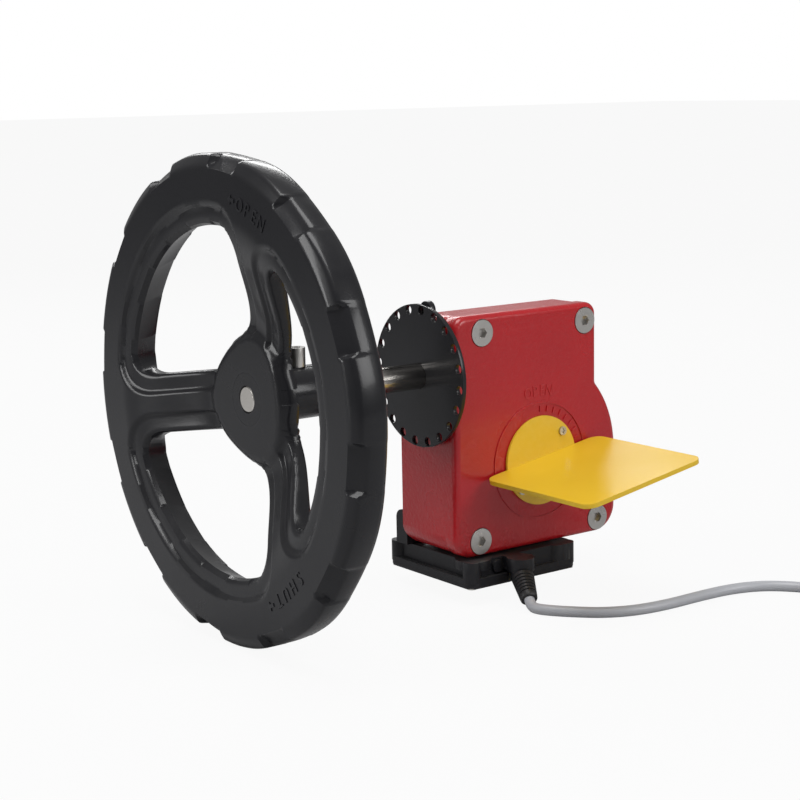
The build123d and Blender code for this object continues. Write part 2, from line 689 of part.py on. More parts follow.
with BuildPart() as sector_gear:
    with BuildSketch(facing(SHAFT_Y + GEAR_WIDTH / 2)):
        with BuildLine():
            start = math.radians(SECTOR_FROM)
            end = math.radians(SECTOR_TO)
            Line((0, 0), (GEAR_TIP_RADIUS * math.cos(start), GEAR_TIP_RADIUS * math.sin(start)))
            CenterArc((0, 0), GEAR_TIP_RADIUS, SECTOR_FROM, SECTOR_TO - SECTOR_FROM)
            Line((GEAR_TIP_RADIUS * math.cos(end), GEAR_TIP_RADIUS * math.sin(end)), (0, 0))
        make_face()
    extrude(amount=GEAR_WIDTH)
    for tooth in range(GEAR_TEETH):
        angle = GEAR_PHASE + tooth * 360 / GEAR_TEETH
        pitch_angle = 360 / GEAR_TEETH
        if (angle - SECTOR_FROM + pitch_angle / 2) % 360 < SECTOR_TO - SECTOR_FROM + pitch_angle:
            with BuildSketch(slot_plane(angle)):
                with BuildLine():
                    flare = math.tan(math.radians(PRESSURE_ANGLE))
                    top = GEAR_TIP_RADIUS + 2
                    bottom_half = SLOT_HALF_WIDTH - (PITCH_RADIUS - GEAR_ROOT_RADIUS) * flare
                    top_half = SLOT_HALF_WIDTH + (top - PITCH_RADIUS) * flare
                    Polyline(
                        (-bottom_half, GEAR_ROOT_RADIUS),
                        (bottom_half, GEAR_ROOT_RADIUS),
                        (top_half, top),
                        (-top_half, top),
                        close=True,
                    )
                make_face()
            extrude(amount=GEAR_WIDTH, both=True, mode=Mode.SUBTRACT)
    with BuildSketch(facing(HUB_END)):
        Circle(HUB_RADIUS)
    extrude(amount=HUB_END - HUB_FRONT)
    with BuildSketch(facing(HUB_FRONT)):
        Circle(FRONT_JOURNAL_RADIUS)
    extrude(amount=HUB_FRONT - HUB_NOSE)
    with BuildSketch(facing(HUB_END)):
        Circle(STEM_BORE_RADIUS)
        with Locations((0, STEM_BORE_RADIUS)):
            Rectangle(KEYWAY_WIDTH, 2 * KEYWAY_DEPTH)
    extrude(amount=STEM_BORE_DEPTH, mode=Mode.SUBTRACT)
    for angle in TARGET_ANGLES:
        with BuildSketch(target_plane(angle)):
            Circle(TARGET_RADIUS)
        extrude(amount=TARGET_LENGTH, mode=Mode.SUBTRACT)
sector_gear.part.label = "sector_gear"
export_step(sector_gear.part, "parts/sector_gear.step")

with BuildPart() as sensor_targets:
    for angle in TARGET_ANGLES:
        with BuildSketch(target_plane(angle)):
            Circle(TARGET_RADIUS)
        extrude(amount=TARGET_LENGTH - TARGET_SINK)
sensor_targets.part.label = "sensor_targets"
export_step(sensor_targets.part, "parts/sensor_targets.step")

rear_bush = ring(
    facing(REAR_BUSH_TO), SPIGOT_RADIUS, HUB_RADIUS + RUNNING_CLEARANCE, REAR_BUSH_TO - REAR_BUSH_FROM
)
rear_bush.label = "rear_bush"
export_step(rear_bush, "parts/rear_bush.step")

rear_seal = ring(
    facing(REAR_SEAL_TO), SPIGOT_RADIUS, HUB_RADIUS + RUNNING_CLEARANCE, REAR_SEAL_TO - REAR_BUSH_TO
)
rear_seal.label = "rear_seal"
export_step(rear_seal, "parts/rear_seal.step")

front_bush = ring(
    facing(BUSH_FRONT_END),
    FRONT_BUSH_RADIUS,
    FRONT_JOURNAL_RADIUS + RUNNING_CLEARANCE,
    BUSH_FRONT_END - JOURNAL_FRONT,
)
front_bush.label = "front_bush"
export_step(front_bush, "parts/front_bush.step")

stem_seal = ring(
    facing(JOURNAL_FRONT),
    STEM_SEAL_RADIUS,
    DRIVER_STEM_RADIUS + RUNNING_CLEARANCE,
    JOURNAL_FRONT - RECESS_FLOOR,
)
stem_seal.label = "stem_seal"
export_step(stem_seal, "parts/stem_seal.step")

with BuildPart() as stop_pins:
    with BuildSketch(facing(CASE_BACK - CASE_WALL + STOP_PIN_SEAT)):
        with Locations(*STOP_PIN_PLACES):
            Circle(STOP_PIN_RADIUS)
    extrude(amount=STOP_PIN_LENGTH)
stop_pins.part.label = "stop_pins"
export_step(stop_pins.part, "parts/stop_pins.step")

# ---- Position indicator ----
flag_turn = math.radians(FLAG_ANGLE)
flag_along = Vector(math.cos(flag_turn), 0, math.sin(flag_turn))
flag_normal = Vector(-math.sin(flag_turn), 0, math.cos(flag_turn))
flag_plane = Plane(
    origin=flag_normal * (FLAG_LIFT - FLAG_THICKNESS / 2), x_dir=flag_along, z_dir=flag_normal
)
DISC_BACK = FLAG_BACK + DISC_THICKNESS
DRIVER_BACK = DISC_BACK + DRIVER_THICKNESS

with BuildPart() as indicator_driver:
    with BuildSketch(facing(HUB_NOSE)):
        Circle(DRIVER_STEM_RADIUS)
    extrude(amount=HUB_NOSE - DISC_BACK)
    with BuildSketch(facing(DRIVER_BACK)):
        Circle(DRIVER_RADIUS)
    extrude(amount=DRIVER_THICKNESS)
    with BuildSketch(facing(DRIVER_BACK)):
        with Locations(*INDICATOR_SCREWS):
            Circle(INDICATOR_SHANK_RADIUS)
    extrude(amount=DRIVER_THICKNESS, mode=Mode.SUBTRACT)
indicator_driver.part.label = "indicator_driver"
export_step(indicator_driver.part, "parts/indicator_driver.step")

with BuildPart() as indicator_disc:
    with BuildSketch(facing(DISC_BACK)):
        Circle(DISC_RADIUS)
        with Locations(*INDICATOR_SCREWS):
            Circle(INDICATOR_SHANK_RADIUS, mode=Mode.SUBTRACT)
        with Locations((flag_normal.X * FLAG_LIFT, flag_normal.Z * FLAG_LIFT)):
            Rectangle(FLAG_TAB_WIDTH, FLAG_THICKNESS, rotation=FLAG_ANGLE, mode=Mode.SUBTRACT)
    extrude(amount=DISC_THICKNESS)
indicator_disc.part.label = "indicator_disc"
export_step(indicator_disc.part, "parts/indicator_disc.step")

with BuildPart() as flag_plate:
    with BuildSketch(flag_plane):
        with Locations((0, FLAG_BACK - FLAG_LENGTH / 2)):
            RectangleRounded(FLAG_WIDTH, FLAG_LENGTH, FLAG_CORNER)
        with Locations((0, FLAG_BACK)):
            Rectangle(FLAG_TAB_WIDTH, 2 * DISC_THICKNESS)
    extrude(amount=FLAG_THICKNESS)
flag_plate.part.label = "flag_plate"
export_step(flag_plate.part, "parts/flag_plate.step")

with BuildPart() as indicator_screws:
    with BuildSketch(facing(DRIVER_BACK)):
        with Locations(*INDICATOR_SCREWS):
            Circle(INDICATOR_SHANK_RADIUS)
    extrude(amount=DRIVER_THICKNESS + DISC_THICKNESS)
    with BuildSketch(facing(FLAG_BACK)):
        with Locations(*INDICATOR_SCREWS):
            Circle(INDICATOR_SCREW_RADIUS)
    extrude(amount=INDICATOR_HEAD_HEIGHT)
    with BuildSketch(facing(FLAG_BACK - INDICATOR_HEAD_HEIGHT)):
        with Locations(*INDICATOR_SCREWS):
            Rectangle(CROSS_LENGTH, CROSS_WIDTH)
            Rectangle(CROSS_WIDTH, CROSS_LENGTH)
    extrude(amount=-INDICATOR_HEAD_HEIGHT / 2, mode=Mode.SUBTRACT)
indicator_screws.part.label = "indicator_screws"
export_step(indicator_screws.part, "parts/indicator_screws.step")

# ---- Handwheel and its hub ----
RIM_BACK = RIM_FRONT + RIM_DEPTH
RIM_INNER = WHEEL_RADIUS - RIM_WIDTH
SPOKE_START = SLEEVE_RADIUS + SPOKE_OVERLAP
SPOKE_END = RIM_INNER + SPOKE_OVERLAP
SPOKE_OUTER_BACK = RIM_BACK - SPOKE_SETBACK

with BuildPart() as handwheel:
    with BuildSketch(radial(90)):
        with Locations(((RIM_FRONT + RIM_BACK) / 2, WHEEL_RADIUS - RIM_WIDTH / 2)):
            RectangleRounded(RIM_DEPTH, RIM_WIDTH, RIM_ROUNDING)
    revolve(axis=SHAFT_AXIS)
    for angle in SPOKE_ANGLES:
        with BuildSketch(radial(angle)):
            with BuildLine():
                Polyline(
                    (HUB_FACE, SPOKE_START),
                    (HUB_FACE + SPOKE_THICKNESS, SPOKE_START),
                    (HUB_FACE + SPOKE_THICKNESS, HUB_PLATE_RADIUS + SPOKE_OVERLAP),
                    (SPOKE_OUTER_BACK, SPOKE_END),
                    (SPOKE_OUTER_BACK - SPOKE_THICKNESS, SPOKE_END),
                    (HUB_FACE, HUB_PLATE_RADIUS),
                    close=True,
                )
            make_face()
        extrude(amount=SPOKE_WIDTH / 2, both=True)
    with BuildSketch(station(HUB_FACE)):
        Circle(HUB_PLATE_RADIUS)
    extrude(amount=HUB_PLATE_THICKNESS)
    with BuildSketch(station(HUB_FACE - 1)):
        Circle(SLEEVE_RADIUS)
    extrude(amount=HUB_PLATE_THICKNESS + 2, mode=Mode.SUBTRACT)
handwheel.part.label = "handwheel"
export_step(handwheel.part, "parts/handwheel.step")

with BuildPart() as hub_sleeve:
    with BuildSketch(station(HUB_FACE)):
        Circle(SLEEVE_RADIUS)
        Circle(SHAFT_RADIUS, mode=Mode.SUBTRACT)
    extrude(amount=SLEEVE_LENGTH)
    with BuildSketch(level(SHAFT_Z)):
        with Locations((PIN_X, SHAFT_Y)):
            Circle(CROSS_PIN_RADIUS)
    extrude(amount=SLEEVE_RADIUS + 1, both=True, mode=Mode.SUBTRACT)
    with BuildSketch(level(SHAFT_Z)):
        with Locations((HUB_BOLT_X, SHAFT_Y)):
            Circle(HUB_BOLT_RADIUS)
    extrude(amount=SLEEVE_RADIUS + 1, mode=Mode.SUBTRACT)
hub_sleeve.part.label = "hub_sleeve"
export_step(hub_sleeve.part, "parts/hub_sleeve.step")

with BuildPart() as hub_cross_pin:
    with BuildSketch(level(SHAFT_Z)):
        with Locations((PIN_X, SHAFT_Y)):
            Circle(CROSS_PIN_RADIUS)
    extrude(amount=SLEEVE_RADIUS - PIN_SINK, both=True)
hub_cross_pin.part.label = "hub_cross_pin"
export_step(hub_cross_pin.part, "parts/hub_cross_pin.step")

with BuildPart() as hub_bolt:
    with BuildSketch(level(SHAFT_Z + SHAFT_RADIUS)):
        with Locations((HUB_BOLT_X, SHAFT_Y)):
            Circle(HUB_BOLT_RADIUS)
    extrude(amount=SLEEVE_RADIUS - SHAFT_RADIUS)
    with BuildSketch(level(SHAFT_Z + SLEEVE_RADIUS)):
        with Locations((HUB_BOLT_X, SHAFT_Y)):
            Circle(HUB_BOLT_HEAD_RADIUS)
    extrude(amount=HUB_BOLT_HEAD_HEIGHT)
    with BuildSketch(level(SHAFT_Z + SLEEVE_RADIUS + HUB_BOLT_HEAD_HEIGHT)):
        with Locations((HUB_BOLT_X, SHAFT_Y)):
            RegularPolygon(HUB_BOLT_SOCKET_RADIUS, 6)
    extrude(amount=-HUB_BOLT_HEAD_HEIGHT / 2, mode=Mode.SUBTRACT)
hub_bolt.part.label = "hub_bolt"
export_step(hub_bolt.part, "parts/hub_bolt.step")

# ---- Locking disc and lug ----
COLLAR_START = LOCK_DISC_FACE + LOCK_DISC_THICKNESS
GRUB_X = COLLAR_START + LOCK_COLLAR_LENGTH / 2

with BuildPart() as locking_disc:
    with BuildSketch(station(LOCK_DISC_FACE)):
        Circle(LOCK_DISC_RADIUS)
        for hole in range(LOCK_HOLES):
            with Locations(on_circle(LOCK_HOLE_CIRCLE, 90 - LOCK_HOLE_PHASE + hole * 360 / LOCK_HOLES)):
                Circle(LOCK_HOLE_RADIUS, mode=Mode.SUBTRACT)
    extrude(amount=LOCK_DISC_THICKNESS)
    with BuildSketch(station(COLLAR_START)):
        Circle(LOCK_COLLAR_RADIUS)
    extrude(amount=LOCK_COLLAR_LENGTH)
    with BuildSketch(station(LOCK_DISC_FACE)):
        Circle(SHAFT_RADIUS)
    extrude(amount=LOCK_COLLAR_LENGTH + LOCK_DISC_THICKNESS, mode=Mode.SUBTRACT)
    with BuildSketch(level(SHAFT_Z)):
        with Locations((GRUB_X, SHAFT_Y)):
            Circle(GRUB_RADIUS)
    extrude(amount=LOCK_COLLAR_RADIUS + 1, mode=Mode.SUBTRACT)
locking_disc.part.label = "locking_disc"
export_step(locking_disc.part, "parts/locking_disc.step")

with BuildPart() as disc_grub_screw:
    with BuildSketch(level(SHAFT_Z + SHAFT_RADIUS)):
        with Locations((GRUB_X, SHAFT_Y)):
            Circle(GRUB_RADIUS)
    extrude(amount=LOCK_COLLAR_RADIUS - SHAFT_RADIUS - PIN_SINK)
disc_grub_screw.part.label = "disc_grub_screw"
export_step(disc_grub_screw.part, "parts/disc_grub_screw.step")

LUG_FACE = LOCK_DISC_FACE + LOCK_DISC_THICKNESS + LUG_GAP
LUG_THICKNESS = CASE_LEFT + CASE_TUCK - LUG_FACE

with BuildPart() as lock_lug:
    with BuildSketch(station(LUG_FACE)):
        with Locations((LUG_EYE[0], LUG_FOOT + LUG_FOOT_HEIGHT / 2)):
            RectangleRounded(LUG_FOOT_WIDTH, LUG_FOOT_HEIGHT, 2)
        with Locations((LUG_EYE[0], (LUG_FOOT + LUG_EYE[1]) / 2)):
            Rectangle(2 * LUG_RADIUS, LUG_EYE[1] - LUG_FOOT)
        with Locations(LUG_EYE):
            Circle(LUG_RADIUS)
            Circle(LOCK_HOLE_RADIUS, mode=Mode.SUBTRACT)
        with Locations(*LUG_SCREWS):
            Circle(LUG_SCREW_RADIUS, mode=Mode.SUBTRACT)
    extrude(amount=LUG_THICKNESS)
lock_lug.part.label = "lock_lug"
export_step(lock_lug.part, "parts/lock_lug.step")

with BuildPart() as lug_screws:
    with BuildSketch(station(LUG_FACE)):
        with Locations(*LUG_SCREWS):
            Circle(LUG_SCREW_RADIUS)
    extrude(amount=LUG_THICKNESS + LUG_SCREW_DEPTH)
lug_screws.part.label = "lug_screws"
export_step(lug_screws.part, "parts/lug_screws.step")

# ---- Switch box ----
BOX_CENTRE = ((BOX_LEFT + BOX_RIGHT) / 2, (BOX_FRONT + BOX_BACK) / 2)
BOX_SIZE = (BOX_RIGHT - BOX_LEFT, BOX_BACK - BOX_FRONT)
POST_PLACES = [
    (x, y)
    for x in (BOX_LEFT + POST_RADIUS, BOX_RIGHT - POST_RADIUS)
    for y in (BOX_FRONT + POST_RADIUS, BOX_BACK - POST_RADIUS)
]
LID_SCREWS = [
    (x, y)
    for x in (BOX_LEFT + LID_SCREW_INSET, BOX_RIGHT - LID_SCREW_INSET)
    for y in (BOX_FRONT + LID_SCREW_INSET, BOX_BACK - LID_SCREW_INSET)
]
WALL_FRONT = BOX_FRONT + WALL_RECESS
LID_SEAL_FROM = WALL_RECESS + LID_SEAL_INSET


def box_outline(plane, inset, corner):
    """Rounded rectangle of the box's plan, drawn in by an inset."""
    with BuildSketch(plane) as outline:
        with Locations(BOX_CENTRE):
            RectangleRounded(BOX_SIZE[0] - 2 * inset, BOX_SIZE[1] - 2 * inset, corner)
    return outline.sketch


with BuildPart() as switch_box_body:
    extrude(box_outline(level(BODY_BOTTOM), 0, BOX_CORNER), amount=RIM_THICKNESS)
    extrude(box_outline(level(BODY_BOTTOM), WALL_RECESS, BOX_CORNER), amount=BOX_TOP - BODY_BOTTOM)
    with BuildSketch(level(BODY_BOTTOM)):
        with Locations(*POST_PLACES):
            Circle(POST_RADIUS)
    extrude(amount=BOX_TOP - BODY_BOTTOM)
    for x, foot in TURRETS:
        with BuildSketch(level(foot)):
            with Locations((x, BOX_FRONT + TURRET_INSET)):
                Circle(TURRET_RADIUS)
        extrude(amount=BOX_TOP - foot)
    with BuildSketch(level(GLAND[2])):
        with Locations((GLAND[0], GLAND[1])):
            Circle(GLAND_RADIUS)
        with Locations((GLAND[0], (GLAND[1] + WALL_FRONT + BOX_WALL / 2) / 2)):
            Rectangle(GLAND_WEB_WIDTH, WALL_FRONT + BOX_WALL / 2 - GLAND[1])
    extrude(amount=BOX_TOP - GLAND[2])
    with BuildSketch(Plane.YZ.offset(BOX_LEFT)):
        with Locations((CASE_BACK + STRAP_DEPTH / 2, (BOX_TOP + STRAP_TOP) / 2)):
            Rectangle(STRAP_DEPTH, STRAP_TOP - BOX_TOP)
        with Locations((CASE_BACK + STRAP_DEPTH, STRAP_TOP)):
            Rectangle(2 * STRAP_ROUNDING, 2 * STRAP_ROUNDING, mode=Mode.SUBTRACT)
        with Locations((CASE_BACK + STRAP_DEPTH - STRAP_ROUNDING, STRAP_TOP - STRAP_ROUNDING)):
            Circle(STRAP_ROUNDING)
    extrude(amount=STRAP_WIDTH)
    extrude(
        box_outline(level(BODY_BOTTOM), WALL_RECESS + BOX_WALL, BOX_CORNER - BOX_WALL),
        amount=ROOF - BODY_BOTTOM,
        mode=Mode.SUBTRACT,
    )
    with BuildSketch(level(BODY_BOTTOM)):
        with Locations(*LID_SCREWS):
            Circle(LID_SCREW_RADIUS)
    extrude(amount=LID_SCREW_DEPTH - LID_THICKNESS, mode=Mode.SUBTRACT)
    with BuildSketch(level(ROOF)):
        with Locations(*BOX_SCREW_PLACES):
            Circle(BOX_SCREW_RADIUS)
        with Locations(*[(x, SHAFT_Y) for x, _ in SENSORS]):
            Circle(SENSOR_RADIUS)
    extrude(amount=BOX_WALL, mode=Mode.SUBTRACT)
    with BuildSketch(facing(CASE_BACK + STRAP_DEPTH)):
        with Locations(STRAP_SCREW):
            Circle(BOX_SCREW_RADIUS)
    extrude(amount=STRAP_DEPTH, mode=Mode.SUBTRACT)
    with BuildSketch(facing(WALL_FRONT + BOX_WALL)):
        with Locations((PLUG_X, PLUG_Z)):
            Circle(PLUG_RADIUS)
    extrude(amount=BOX_WALL, mode=Mode.SUBTRACT)
    with BuildSketch(facing(BOX_FRONT + WALL_RECESS + BOX_WALL)):
        with Locations((GLAND[0], GLAND[2] + GLAND_BORE + 1)):
            Circle(GLAND_BORE)
    extrude(amount=BOX_WALL + WALL_RECESS + 1, mode=Mode.SUBTRACT)
    with BuildSketch(level(GLAND[2])):
        with Locations((GLAND[0], GLAND[1])):
            Circle(NOTCH_RADIUS)
    extrude(amount=BODY_BOTTOM - GLAND[2], mode=Mode.SUBTRACT)
switch_box_body.part.label = "switch_box_body"
export_step(switch_box_body.part, "parts/switch_box_body.step")

with BuildPart() as switch_box_lid:
    extrude(box_outline(level(BOX_BOTTOM), 0, BOX_CORNER), amount=LID_THICKNESS)
    fillet(switch_box_lid.faces().sort_by(Axis.Z)[0].edges(), LID_THICKNESS / 2)
    extrude(
        box_outline(level(BODY_BOTTOM), WALL_RECESS + BOX_WALL + LID_GROOVE_GAP, BOX_CORNER - BOX_WALL),
        amount=BOARD_STANDOFF,
    )
    extrude(
        box_outline(level(BODY_BOTTOM), WALL_RECESS + BOX_WALL + 2, BOX_CORNER - BOX_WALL),
        amount=BOARD_STANDOFF,
        mode=Mode.SUBTRACT,
    )
    with BuildSketch(level(BODY_BOTTOM)):
        with Locations(BOARD_CENTRE):
            with GridLocations(BOARD_SIZE[0] - BOARD_POST_INSET, BOARD_SIZE[1] - BOARD_POST_INSET, 2, 2):
                Circle(2)
    extrude(amount=BOARD_STANDOFF)
    with BuildSketch(level(BOX_BOTTOM)):
        with Locations(*LID_SCREWS):
            Circle(LID_SCREW_RADIUS)
    extrude(amount=LID_THICKNESS, mode=Mode.SUBTRACT)
    with BuildSketch(level(BOX_BOTTOM)):
        with Locations(*LID_SCREWS):
            Circle(LID_SCREW_HEAD)
    extrude(amount=LID_THICKNESS / 2, mode=Mode.SUBTRACT)
    extrude(
        box_outline(level(BODY_BOTTOM - LID_SEAL_HEIGHT), LID_SEAL_FROM, BOX_CORNER),
        amount=LID_SEAL_HEIGHT,
        mode=Mode.SUBTRACT,
    )
    extrude(
        box_outline(
            level(BODY_BOTTOM - LID_SEAL_HEIGHT), LID_SEAL_FROM + LID_SEAL_WIDTH, BOX_CORNER - 1
        ),
        amount=LID_SEAL_HEIGHT,
    )
    with BuildSketch(level(BOX_BOTTOM)):
        with Locations((GLAND[0], GLAND[1])):
            Circle(NOTCH_RADIUS)
    extrude(amount=LID_THICKNESS, mode=Mode.SUBTRACT)
switch_box_lid.part.label = "switch_box_lid"
export_step(switch_box_lid.part, "parts/switch_box_lid.step")

with BuildPart() as box_lid_seal:
    extrude(
        box_outline(level(BODY_BOTTOM - LID_SEAL_HEIGHT), LID_SEAL_FROM, BOX_CORNER),
        amount=LID_SEAL_HEIGHT,
    )
    extrude(
        box_outline(
            level(BODY_BOTTOM - LID_SEAL_HEIGHT), LID_SEAL_FROM + LID_SEAL_WIDTH, BOX_CORNER - 1
        ),
        amount=LID_SEAL_HEIGHT,
        mode=Mode.SUBTRACT,
    )
box_lid_seal.part.label = "box_lid_seal"
export_step(box_lid_seal.part, "parts/box_lid_seal.step")

with BuildPart() as box_lid_screws:
    with BuildSketch(level(BOX_BOTTOM)):
        with Locations(*LID_SCREWS):
            Circle(LID_SCREW_RADIUS)
    extrude(amount=LID_SCREW_DEPTH)
    with BuildSketch(level(BOX_BOTTOM)):
        with Locations(*LID_SCREWS):
            Circle(LID_SCREW_HEAD)
    extrude(amount=LID_THICKNESS / 2)
    with BuildSketch(level(BOX_BOTTOM)):
        with Locations(*LID_SCREWS):
            Rectangle(CROSS_LENGTH, CROSS_WIDTH)
            Rectangle(CROSS_WIDTH, CROSS_LENGTH)
    extrude(amount=LID_THICKNESS / 4, mode=Mode.SUBTRACT)
box_lid_screws.part.label = "box_lid_screws"
export_step(box_lid_screws.part, "parts/box_lid_screws.step")

CASE_FLOOR = CASE_BOTTOM + CASE_TUCK

with BuildPart() as box_mount_gasket:
    with BuildSketch(level(BOX_TOP)):
        with Locations(GASKET_CENTRE):
            Rectangle(*GASKET_SIZE)
        with Locations(*BOX_SCREW_PLACES):
            Circle(BOX_SCREW_RADIUS, mode=Mode.SUBTRACT)
        with Locations(*[(x, SHAFT_Y) for x, _ in SENSORS]):
            Circle(SENSOR_RADIUS, mode=Mode.SUBTRACT)
    extrude(amount=CASE_FLOOR - BOX_TOP)
box_mount_gasket.part.label = "box_mount_gasket"
export_step(box_mount_gasket.part, "parts/box_mount_gasket.step")

with BuildPart() as box_mount_screws:
    with BuildSketch(level(ROOF - BOX_SCREW_HEAD_HEIGHT)):
        with Locations(*BOX_SCREW_PLACES):
            Circle(BOX_SCREW_HEAD)
    extrude(amount=BOX_SCREW_HEAD_HEIGHT)
    with BuildSketch(level(ROOF)):
        with Locations(*BOX_SCREW_PLACES):
            Circle(BOX_SCREW_RADIUS)
    extrude(amount=CASE_FLOOR + CASE_WALL - CASE_TUCK - ROOF)
box_mount_screws.part.label = "box_mount_screws"
export_step(box_mount_screws.part, "parts/box_mount_screws.step")

with BuildPart() as strap_screw:
    with BuildSketch(facing(CASE_BACK + STRAP_DEPTH)):
        with Locations(STRAP_SCREW):
            Circle(BOX_SCREW_RADIUS)
    extrude(amount=STRAP_DEPTH + CASE_WALL)
strap_screw.part.label = "strap_screw"
export_step(strap_screw.part, "parts/strap_screw.step")

with BuildPart() as position_sensors:
    for x, tip in SENSORS:
        with BuildSketch(level(SENSOR_FOOT)):
            with Locations((x, SHAFT_Y)):
                Circle(SENSOR_RADIUS)
        extrude(amount=tip - SENSOR_FOOT)
position_sensors.part.label = "position_sensors"
export_step(position_sensors.part, "parts/position_sensors.step")

BOARD_BOTTOM = BODY_BOTTOM + BOARD_STANDOFF

with BuildPart() as circuit_board:
    with BuildSketch(level(BOARD_BOTTOM)):
        with Locations(BOARD_CENTRE):
            Rectangle(*BOARD_SIZE)
    extrude(amount=BOARD_THICKNESS)
circuit_board.part.label = "circuit_board"
export_step(circuit_board.part, "parts/circuit_board.step")

with BuildPart() as terminal_block:
    with BuildSketch(level(BOARD_BOTTOM + BOARD_THICKNESS)):
        with Locations(BOARD_CENTRE):
            Rectangle(*TERMINAL_SIZE)
    extrude(amount=TERMINAL_HEIGHT)
    with BuildSketch(level(BOARD_BOTTOM + BOARD_THICKNESS + TERMINAL_HEIGHT)):
        with Locations(BOARD_CENTRE):
            with GridLocations(1, TERMINAL_SIZE[1] / TERMINAL_WAYS, 1, TERMINAL_WAYS):
                Circle(TERMINAL_HOLE_RADIUS)
    extrude(amount=-TERMINAL_HEIGHT / 2, mode=Mode.SUBTRACT)
terminal_block.part.label = "terminal_block"
export_step(terminal_block.part, "parts/terminal_block.step")

with BuildPart() as blind_plug:
    with BuildSketch(facing(WALL_FRONT + BOX_WALL)):
        with Locations((PLUG_X, PLUG_Z)):
            Circle(PLUG_RADIUS)
    extrude(amount=BOX_WALL)
    with BuildSketch(facing(WALL_FRONT)):
        with Locations((PLUG_X, PLUG_Z)):
            Circle(PLUG_HEAD_RADIUS)
    extrude(amount=PLUG_HEAD)
blind_plug.part.label = "blind_plug"
export_step(blind_plug.part, "parts/blind_plug.step")

# ---- Cable gland, boot and cable ----
boot_axis = (Vector(*BOOT_TIP) - Vector(*GLAND)).normalized()
BOOT_LENGTH = (Vector(*BOOT_TIP) - Vector(*GLAND)).length


def along_boot(distance):
    """Plane across the boot's axis at a distance from the gland."""
    return Plane(origin=Vector(*GLAND) + boot_axis * distance, z_dir=boot_axis)


with BuildPart() as gland_nut:
    with Locations(GLAND):
        Sphere(NUT_RADIUS)
    with BuildSketch(along_boot(0)):
        Circle(BOOT_ROOT_RADIUS)
    extrude(amount=BOOT_FROM)
    with BuildSketch(level(GLAND[2])):
        with Locations((GLAND[0], GLAND[1])):
            Circle(2 * GLAND_RADIUS)
    extrude(amount=2 * GLAND_RADIUS, mode=Mode.SUBTRACT)
gland_nut.part.label = "gland_nut"
export_step(gland_nut.part, "parts/gland_nut.step")

with BuildPart() as strain_relief_boot:
    with BuildSketch(along_boot(BOOT_FROM)):
        Circle(BOOT_ROOT_RADIUS)
    with BuildSketch(along_boot(BOOT_LENGTH)):
        Circle(BOOT_TIP_RADIUS)
    loft()
    with BuildSketch(level(GLAND[2])):
        with Locations((GLAND[0], GLAND[1])):
            Circle(GLAND_RADIUS)
    extrude(amount=BOX_TOP - GLAND[2], mode=Mode.SUBTRACT)
strain_relief_boot.part.label = "strain_relief_boot"
export_step(strain_relief_boot.part, "parts/strain_relief_boot.step")


def bend_radii(route):
    """Radius of the arc at each inner point of a route, as large as its two runs allow."""
    radii = []
    for before, here, after in zip(route, route[1:], route[2:]):
        arriving = Vector(*here) - Vector(*before)
        leaving = Vector(*after) - Vector(*here)
        half_turn = math.radians(arriving.get_angle(leaving)) / 2
        radii.append(BEND_SHARE * min(arriving.length, leaving.length) / math.tan(half_turn))
    return radii


def cable_along(route):
    """Round cable on straight runs joined by tangent arcs, with its length and its radii."""
    radii = bend_radii(route)
    with BuildPart() as cable:
        with BuildLine():
            path = FilletPolyline(*route, radius=radii)
        with BuildSketch(Plane(origin=path @ 0, z_dir=path % 0)):
            Circle(CABLE_RADIUS)
        sweep(path=path)
    length = path.length
    share = cable.part.volume / (length * math.pi * CABLE_RADIUS**2)
    print("cable length", round(length, 1), "volume share", round(share, 4))
    print("bend radii", [round(radius, 1) for radius in radii])
    return cable.part


cable_tube = cable_along(CABLE_ROUTE)
cable_tube.label = "cable_tube"
export_step(cable_tube, "parts/cable_tube.step")

with BuildPart() as cable_coil:
    with BuildSketch(level(COIL_BOTTOM)):
        with Locations(COIL_CENTRE):
            Circle(COIL_OUTER)
            Circle(COIL_INNER, mode=Mode.SUBTRACT)
    extrude(amount=COIL_HEIGHT)
cable_coil.part.label = "cable_coil"
export_step(cable_coil.part, "parts/cable_coil.step")

cable_tail = cable_along(TAIL_ROUTE)
cable_tail.label = "cable_tail"
export_step(cable_tail, "parts/cable_tail.step")

tail_end = Vector(*TAIL_ROUTE[-1])
tail_heading = (tail_end - Vector(*TAIL_ROUTE[-2])).normalized()

with BuildPart() as conductor_ends:
    with BuildSketch(Plane(origin=tail_end, z_dir=tail_heading)):
        with GridLocations(2 * CORE_SPREAD, 2 * CORE_SPREAD, 2, 2):
            Circle(CORE_RADIUS)
    extrude(amount=CORE_LENGTH)
conductor_ends.part.label = "conductor_ends"
export_step(conductor_ends.part, "parts/conductor_ends.step")

tie_turn = math.radians(TIE_ANGLE)
tie_outwards = Vector(math.cos(tie_turn), math.sin(tie_turn), 0)
tie_plane = Plane(
    origin=Vector(COIL_CENTRE[0], COIL_CENTRE[1], COIL_BOTTOM + COIL_HEIGHT / 2)
    + tie_outwards * (COIL_INNER + COIL_OUTER) / 2,
    x_dir=tie_outwards,
    z_dir=tie_outwards.cross(Vector(0, 0, 1)),
)

